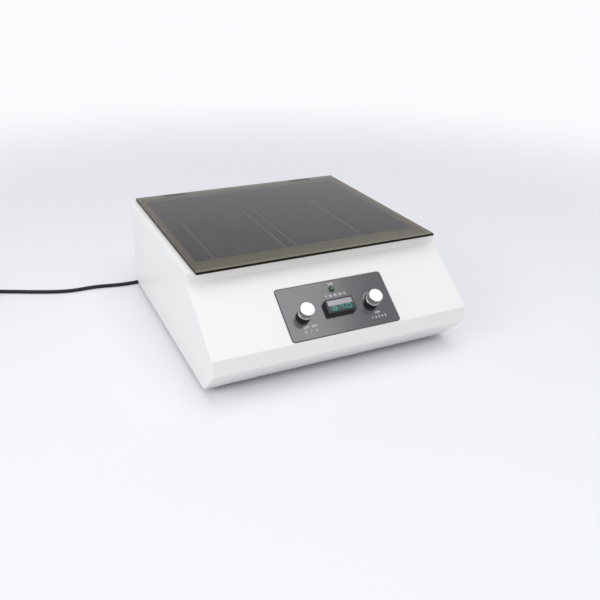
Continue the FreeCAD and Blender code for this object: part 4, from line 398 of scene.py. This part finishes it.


# Control panel: a thin plate with a dark glossy printed film, glued to the slope. Its print is
# plain: ON at the lamp, OFF and ON at the switch, a row of temperatures over the display and
# OFF and numbers at the dial. A short arc of white strokes round the dial's knob is a painted
# highlight of the knob foot's rim. Round its edge the film has a narrow dull rim.
slope_foot = Vector((0, -0.239, 0.082))
slope_tilt = math.atan2(0.0765, 0.106)
up_slope = Vector((0, math.cos(slope_tilt), math.sin(slope_tilt)))
off_slope = Vector((0, -math.sin(slope_tilt), math.cos(slope_tilt)))


def on_slope(across, up, off):
    """A point of the slope, in millimetres across it, up it and off its face."""
    return slope_foot + (Vector((across, 0, 0)) + up_slope * up + off_slope * off) / 1000


film_gloss, rim_gloss = 0.16, 0.95
panel_middle, panel_half, panel_corner, panel_thick = (0, 47.4), (94, 46.4), 5.5, 1
rim_from, rim_to = 1.7, 1.1
panel_film = with_skin("Dark panel film", (0.014, 0.013, 0.019), roughness=film_gloss,
                       grain_per_metre=1200, grain_depth=0.000002, tone_drift=0.05,
                       IOR=1.65, Specular_IOR_Level=1.0)
tree = panel_film.node_tree
place = add_node(tree, "TexCoord")
from_middle = add_node(
    tree, "VectorMath", {0: place.outputs["Object"], 1: on_slope(*panel_middle, panel_thick)},
    operation="SUBTRACT")
across_plate = add_node(tree, "SeparateXYZ", {"Vector": from_middle.outputs["Vector"]})
up_plate = add_node(
    tree, "VectorMath", {0: from_middle.outputs["Vector"], 1: up_slope}, operation="DOT_PRODUCT")
on_plate = add_node(
    tree, "CombineXYZ", {"X": across_plate.outputs["X"], "Y": up_plate.outputs["Value"]})
both_sides = add_node(tree, "VectorMath", {0: on_plate.outputs["Vector"]}, operation="ABSOLUTE")
corner_middle = ((panel_half[0] - panel_corner) / 1000, (panel_half[1] - panel_corner) / 1000, 0)
past_corner = add_node(
    tree, "VectorMath", {0: both_sides.outputs["Vector"], 1: corner_middle}, operation="SUBTRACT")
only_past = add_node(
    tree, "VectorMath", {0: past_corner.outputs["Vector"], 1: (0, 0, 0)}, operation="MAXIMUM")
how_far = add_node(tree, "VectorMath", {0: only_past.outputs["Vector"]}, operation="LENGTH")
dull_rim = add_node(
    tree, "MapRange",
    {"Value": how_far.outputs["Value"], "From Min": (panel_corner - rim_from) / 1000,
     "From Max": (panel_corner - rim_to) / 1000, "To Min": film_gloss, "To Max": rim_gloss})
tree.links.new(dull_rim.outputs["Result"], tree.nodes["Principled BSDF"].inputs["Roughness"])
dress("control_panel", panel_film, edge=0.0003)

print_thick, print_lift = 0.08, 0.04
letter_high, letter_fuller = 5.4, 0.12
print_and_highlight_white = with_skin("Panel print and highlight", (0.66, 0.66, 0.67), roughness=0.5, grain_per_metre=1500,
                        grain_depth=0.000002)


def set_on_slope(piece, across, up, off, turned=0.0):
    """Lay a flat piece on the slope and leave its object at the origin."""
    piece.data.transform(
        Matrix.Translation(on_slope(across, up, off))
        @ Matrix.Rotation(slope_tilt, 4, "X")
        @ Matrix.Rotation(math.radians(turned), 4, "Z")
    )


def finish_print_and_highlight(piece):
    """Give a printed mark, or a stroke of painted highlight, its white and fix it to the casing
    with the panel.
    """
    piece.data.materials.clear()
    piece.data.materials.append(print_and_highlight_white)
    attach(piece, "casing")


def printed(name, words, across, up, high=letter_high):
    """A word or a row of numbers printed on the panel, as a thin raised skin."""
    bpy.ops.object.select_all(action="DESELECT")
    bpy.ops.object.text_add(location=(0, 0, 0))
    word = bpy.context.object
    word.name = name
    word.data.body = words
    word.data.size = high / 1000
    word.data.align_x = "CENTER"
    word.data.align_y = "CENTER"
    word.data.extrude = print_thick / 2 / 1000
    word.data.offset = letter_fuller / 1000
    word.data.resolution_u = 3
    bpy.ops.object.convert(target="MESH")
    set_on_slope(word, across, up, panel_thick + print_lift)
    finish_print_and_highlight(word)


def stroke(name, across, up, long, wide, turned=0.0):
    """A short line in the print's white, with its middle at this place."""
    bpy.ops.object.select_all(action="DESELECT")
    bpy.ops.mesh.primitive_cube_add(size=0.001, location=(0, 0, 0))
    line = bpy.context.object
    line.name = name
    line.data.transform(Matrix.Diagonal((long, wide, print_thick, 1)))
    set_on_slope(line, across, up, panel_thick + print_lift, turned)
    finish_print_and_highlight(line)


printed("print_lamp_on", "ON", 1.3, 86.6)
printed("print_unit", "0  20  40  60 \u00b0C", 3, 65.9, high=5.6)
printed("print_switch_off_on", "OFF   ON", -58.2, 22)
printed("print_switch_marks", "0    1    2", -58.6, 14.3)
printed("print_dial_off", "OFF", 60, 22.4)
printed("print_dial_numbers", "1  2  3  4  5", 60.2, 15)
# Painted highlight: white strokes on an arc round the dial's knob stand in for light on the knob
# foot's rim.
dial_across, dial_up, highlight_arc_radius = 58.6, 46.5, 13.1
highlight_arc_starts, highlight_arc_step, highlight_arc_strokes = 90, 9, 9
for step in range(highlight_arc_strokes):
    sweep = math.radians(highlight_arc_starts + highlight_arc_step * step)
    stroke(f"painted_highlight_arc_{step}", dial_across + highlight_arc_radius * math.cos(sweep),
           dial_up + highlight_arc_radius * math.sin(sweep), long=2.2, wide=0.5,
           turned=math.degrees(sweep) + 90)


# Temperature display: a black moulded bezel with a bevelled edge. Its window is one moulded
# pane, dark over the strip where three teal digits of seven bars each are lit, with a painted
# reflection as a pale tint over the rest of its height.
bezel_plastic = with_skin("Bezel plastic", (0.010, 0.010, 0.011), roughness=0.20,
                          grain_per_metre=2400, grain_depth=0.00001)
dress("display_housing", bezel_plastic, edge=0.0006)
window_face = 11
strip_ends, painted_reflection_starts = 43.9, 44.7
window_pane = surface("Display window", (0.30, 0.30, 0.31), Roughness=0.10, IOR=1.49)
tree = window_pane.node_tree
place = add_node(tree, "TexCoord")
height = add_node(
    tree, "VectorMath", {0: place.outputs["Object"], 1: up_slope}, operation="DOT_PRODUCT")
strip_edge = add_node(
    tree, "MapRange",
    {"Value": height.outputs["Value"],
     "From Min": on_slope(0, strip_ends, window_face).dot(up_slope),
     "From Max": on_slope(0, painted_reflection_starts, window_face).dot(up_slope)})
# Painted reflection: the pane turns pale grey above the dark strip that holds the digits.
strip_and_painted_reflection = add_node(
    tree, "Mix",
    {"Factor": strip_edge.outputs["Result"], "A": (0.022, 0.050, 0.050, 1),
     "B": (0.36, 0.35, 0.375, 1)},
    data_type="RGBA")
tree.links.new(strip_and_painted_reflection.outputs["Result"], tree.nodes["Principled BSDF"].inputs["Base Color"])
dress("display_window", window_pane)

lit_teal = surface("Lit digit", (0.005, 0.10, 0.08), Roughness=0.3,
                   Emission_Color=(0.03, 0.50, 0.40, 1), Emission_Strength=0.35)
tree = lit_teal.node_tree
place = add_node(tree, "TexCoord")
dots = add_node(tree, "TexNoise", {"Vector": place.outputs["Object"], "Scale": 900})
faint, strong = 0.28, 0.42
glow = add_node(
    tree, "MapRange", {"Value": dots.outputs["Fac"], "To Min": faint, "To Max": strong})
tree.links.new(glow.outputs["Result"], tree.nodes["Principled BSDF"].inputs["Emission Strength"])

digit_high, digit_wide, bar_wide, bar_thick = 8.2, 8.6, 1.7, 0.08
digit_pitch, digit_up, digit_lift = 12.6, 39.4, 0.01
bar_gap = bar_wide * 0.25


def flat_prism(sides, radius):
    """A low prism that lies on the ground plane, its sizes in millimetres."""
    bpy.ops.object.select_all(action="DESELECT")
    bpy.ops.mesh.primitive_cylinder_add(
        vertices=sides, radius=radius, depth=bar_thick, location=(0, 0, 0), calc_uvs=False)
    prism = bpy.context.object
    prism.data.transform(Matrix.Translation((0, 0, bar_thick / 2)))
    return prism


def lit_bar(long, turned):
    """One bar of a digit: a six-sided prism, narrowed and drawn out between its two points."""
    shape = flat_prism(6, bar_wide)
    narrower = 1 / (2 * math.sin(math.radians(60)))
    shape.data.transform(Matrix.Diagonal((narrower, 1, 1, 1)))
    for end in (-1, 1):
        bpy.ops.object.mode_set(mode="EDIT")
        bpy.ops.mesh.select_all(action="DESELECT")
        bpy.ops.object.mode_set(mode="OBJECT")
        for vertex in shape.data.vertices:
            vertex.select = vertex.co.y * end > 0
        bpy.ops.object.mode_set(mode="EDIT")
        bpy.ops.transform.translate(value=(0, end * (long / 2 - bar_wide), 0))
        bpy.ops.object.mode_set(mode="OBJECT")
    shape.data.transform(Matrix.Rotation(math.radians(turned), 4, "Z"))
    return shape


def lit_copy(model, across, up):
    """A copy of a bar, with its own mesh, in its place in the row of digits."""
    copied = bpy.data.objects.new("lit_part", model.data.copy())
    bpy.context.scene.collection.objects.link(copied)
    copied.data.transform(Matrix.Translation((across, up, 0)))
    return copied


lying = lit_bar(digit_wide - bar_gap, 90)
standing = lit_bar(digit_high / 2 - bar_gap, 0)
bars = {
    "top": (lying, 0, 1), "middle": (lying, 0, 0), "bottom": (lying, 0, -1),
    "upper_left": (standing, -1, 0.5), "upper_right": (standing, 1, 0.5),
    "lower_left": (standing, -1, -0.5), "lower_right": (standing, 1, -0.5),
}
lit_bars = {
    "3": ("top", "middle", "bottom", "upper_right", "lower_right"),
    "7": ("top", "upper_right", "lower_right"),
    "0": ("top", "bottom", "upper_left", "upper_right", "lower_left", "lower_right"),
}
decimal_point = flat_prism(8, bar_wide / 2)
decimal_point.data.transform(
    Matrix.Translation((digit_pitch / 2, -(digit_high - bar_wide) / 2, 0)))
lit_parts = [decimal_point]
for column, digit in enumerate("370"):
    for bar_name in lit_bars[digit]:
        model, side, level = bars[bar_name]
        lit_parts.append(lit_copy(
            model,
            (column - 1) * digit_pitch + side * (digit_wide - bar_wide) / 2,
            level * (digit_high - bar_wide) / 2,
        ))
for model in (lying, standing):
    bpy.data.objects.remove(model)
bpy.ops.object.select_all(action="DESELECT")
for part in lit_parts:
    part.select_set(True)
bpy.context.view_layer.objects.active = decimal_point
bpy.ops.object.join()
digits = bpy.context.object
digits.name = "display_digits"
digits.data.name = "display_digits"
digits.data.transform(Matrix.Diagonal((0.001, 0.001, 0.001, 1)))
set_on_slope(digits, 0, digit_up, window_face + digit_lift)
digits.data.materials.append(lit_teal)
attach(digits, "casing")


# Lamp: a dark bezel with a threaded barrel behind it, and a domed green lens whose paler spot
# in its middle is a painted highlight.
lamp_dark = with_skin("Lamp bezel", (0.010, 0.034, 0.022), roughness=0.3, grain_per_metre=2400,
                      grain_depth=0.00001)
dress("lamp_bezel", lamp_dark)
lamp_up, lens_high = 77, 4.8
# Painted highlight: the lens colour turns paler within about two millimetres of its middle.
highlight_inner, highlight_outer = 0.0008, 0.0022
lamp_green = surface("Green lens", (0.01, 0.09, 0.04), Roughness=0.08, IOR=1.49)
tree = lamp_green.node_tree
place = add_node(tree, "TexCoord")
from_lamp = add_node(
    tree, "VectorMath", {0: place.outputs["Object"], 1: on_slope(0, lamp_up, lens_high)},
    operation="DISTANCE")
highlight_edge = add_node(
    tree, "MapRange",
    {"Value": from_lamp.outputs["Value"], "From Min": highlight_inner, "From Max": highlight_outer})
lens_and_painted_highlight = add_node(
    tree, "Mix",
    {"Factor": highlight_edge.outputs["Result"], "A": (0.16, 0.34, 0.22, 1),
     "B": (0.004, 0.060, 0.026, 1)},
    data_type="RGBA")
tree.links.new(lens_and_painted_highlight.outputs["Result"], tree.nodes["Principled BSDF"].inputs["Base Color"])
dress("lamp_lens", lamp_green)


# Knobs: each has a black plastic foot and a knurled, bright metal cap pressed over its core,
# and sits on the steel spindle of the switch or potentiometer behind the panel, which a nut
# holds in its hole.
turned_metal = with_skin("Turned aluminium", (0.78, 0.78, 0.79), roughness=0.36,
                         grain_per_metre=1500, grain_depth=0.00001, Metallic=1.0)
for side in ("heater", "speed"):
    dress(side + "_knob", black_plastic)
    dress(side + "_knob_cap", turned_metal)
    dress(side + "_spindle", screw_steel)
dress("panel_nuts", screw_steel)
dress("heater_switch", black_plastic)
dress("speed_potentiometer", screw_steel)


# Lid: one flat sheet of smoked acrylic, 4 mm thick, sawn and scraped at its edges, so its
# faces are glossy and its cut edges duller. It lets about a quarter of the light through. Over
# the light flange that carries it the sheet looks olive, over the dark chamber bluish, partly
# through what shows beneath it and partly by a painted tint on its reflection.
smoke, sawn_smoke = (0.265, 0.245, 0.20), (0.004, 0.0038, 0.0035)
face_gloss, sawn_gloss = 0.02, 0.65
edge_until, face_from = 0.1, 0.6
mouth_middle, mouth_half, soft_line = (0, 0.053, 0), (0.1955, 0.1565, 0), 0.0008
smoked = surface("Smoked acrylic", smoke, Roughness=face_gloss, IOR=1.30, Transmission_Weight=1.0)
tree = smoked.node_tree
sheet_shader = tree.nodes["Principled BSDF"]
place = add_node(tree, "TexCoord")
facing = add_node(tree, "SeparateXYZ", {"Vector": place.outputs["Normal"]})
upright = add_node(tree, "Math", {0: facing.outputs["Z"]}, operation="ABSOLUTE")
flatness = add_node(
    tree, "MapRange",
    {"Value": upright.outputs["Value"], "From Min": edge_until, "From Max": face_from})
edge_to_face = add_node(
    tree, "Mix",
    {"Factor": flatness.outputs["Result"], "A": (*sawn_smoke, 1), "B": (*smoke, 1)},
    data_type="RGBA")
sawn_to_glossy = add_node(
    tree, "MapRange",
    {"Value": flatness.outputs["Result"], "To Min": sawn_gloss, "To Max": face_gloss})
from_middle = add_node(
    tree, "VectorMath", {0: place.outputs["Object"], 1: mouth_middle}, operation="SUBTRACT")
both_sides = add_node(
    tree, "VectorMath", {0: from_middle.outputs["Vector"]}, operation="ABSOLUTE")
past_mouth = add_node(
    tree, "VectorMath", {0: both_sides.outputs["Vector"], 1: mouth_half}, operation="SUBTRACT")
apart = add_node(tree, "SeparateXYZ", {"Vector": past_mouth.outputs["Vector"]})
farther = add_node(
    tree, "Math", {0: apart.outputs["X"], 1: apart.outputs["Y"]}, operation="MAXIMUM")
over_flange = add_node(
    tree, "MapRange",
    {"Value": farther.outputs["Value"], "From Min": -soft_line, "From Max": soft_line})
# Painted reflection: the sheet's reflection is tinted olive over the flange and bluish over the
# chamber.
painted_reflection_tint = add_node(
    tree, "Mix",
    {"Factor": over_flange.outputs["Result"], "A": (0.62, 0.66, 1.0, 1),
     "B": (1.0, 0.76, 0.44, 1)},
    data_type="RGBA")
for giver, words in ((edge_to_face, "Base Color"), (sawn_to_glossy, "Roughness"),
                     (painted_reflection_tint, "Specular Tint")):
    tree.links.new(giver.outputs["Result"], sheet_shader.inputs[words])
lets_light = add_node(tree, "BsdfTransparent", {"Color": (0.43, 0.40, 0.36, 1)})
ray = add_node(tree, "LightPath")
either = add_node(
    tree, "MixShader",
    {"Fac": ray.outputs["Is Shadow Ray"], 1: sheet_shader.outputs["BSDF"],
     2: lets_light.outputs["BSDF"]})
tree.links.new(either.outputs["Shader"], tree.nodes["Material Output"].inputs["Surface"])
dress("lid_panel", smoked, edge=0.0004)
seal_foam = with_skin("Seal foam", (0.62, 0.60, 0.56), roughness=0.9, grain_per_metre=1800,
                      grain_depth=0.00015)
dress("lid_seal", seal_foam)


# Hinges: small black steel hinges. A clip is screwed to the lid's back edge, a leaf to the
# casing's back wall, and a bright pin joins their knuckles.
hinge_black = with_skin("Hinge black", (0.022, 0.022, 0.022), roughness=0.20,
                        grain_per_metre=2200, grain_depth=0.00001)
for node_name in ("lid_clips", "hinge_leaves"):
    dress(node_name, hinge_black)
dress("hinge_pins", screw_steel)
dress("clip_screws", blackened_steel)
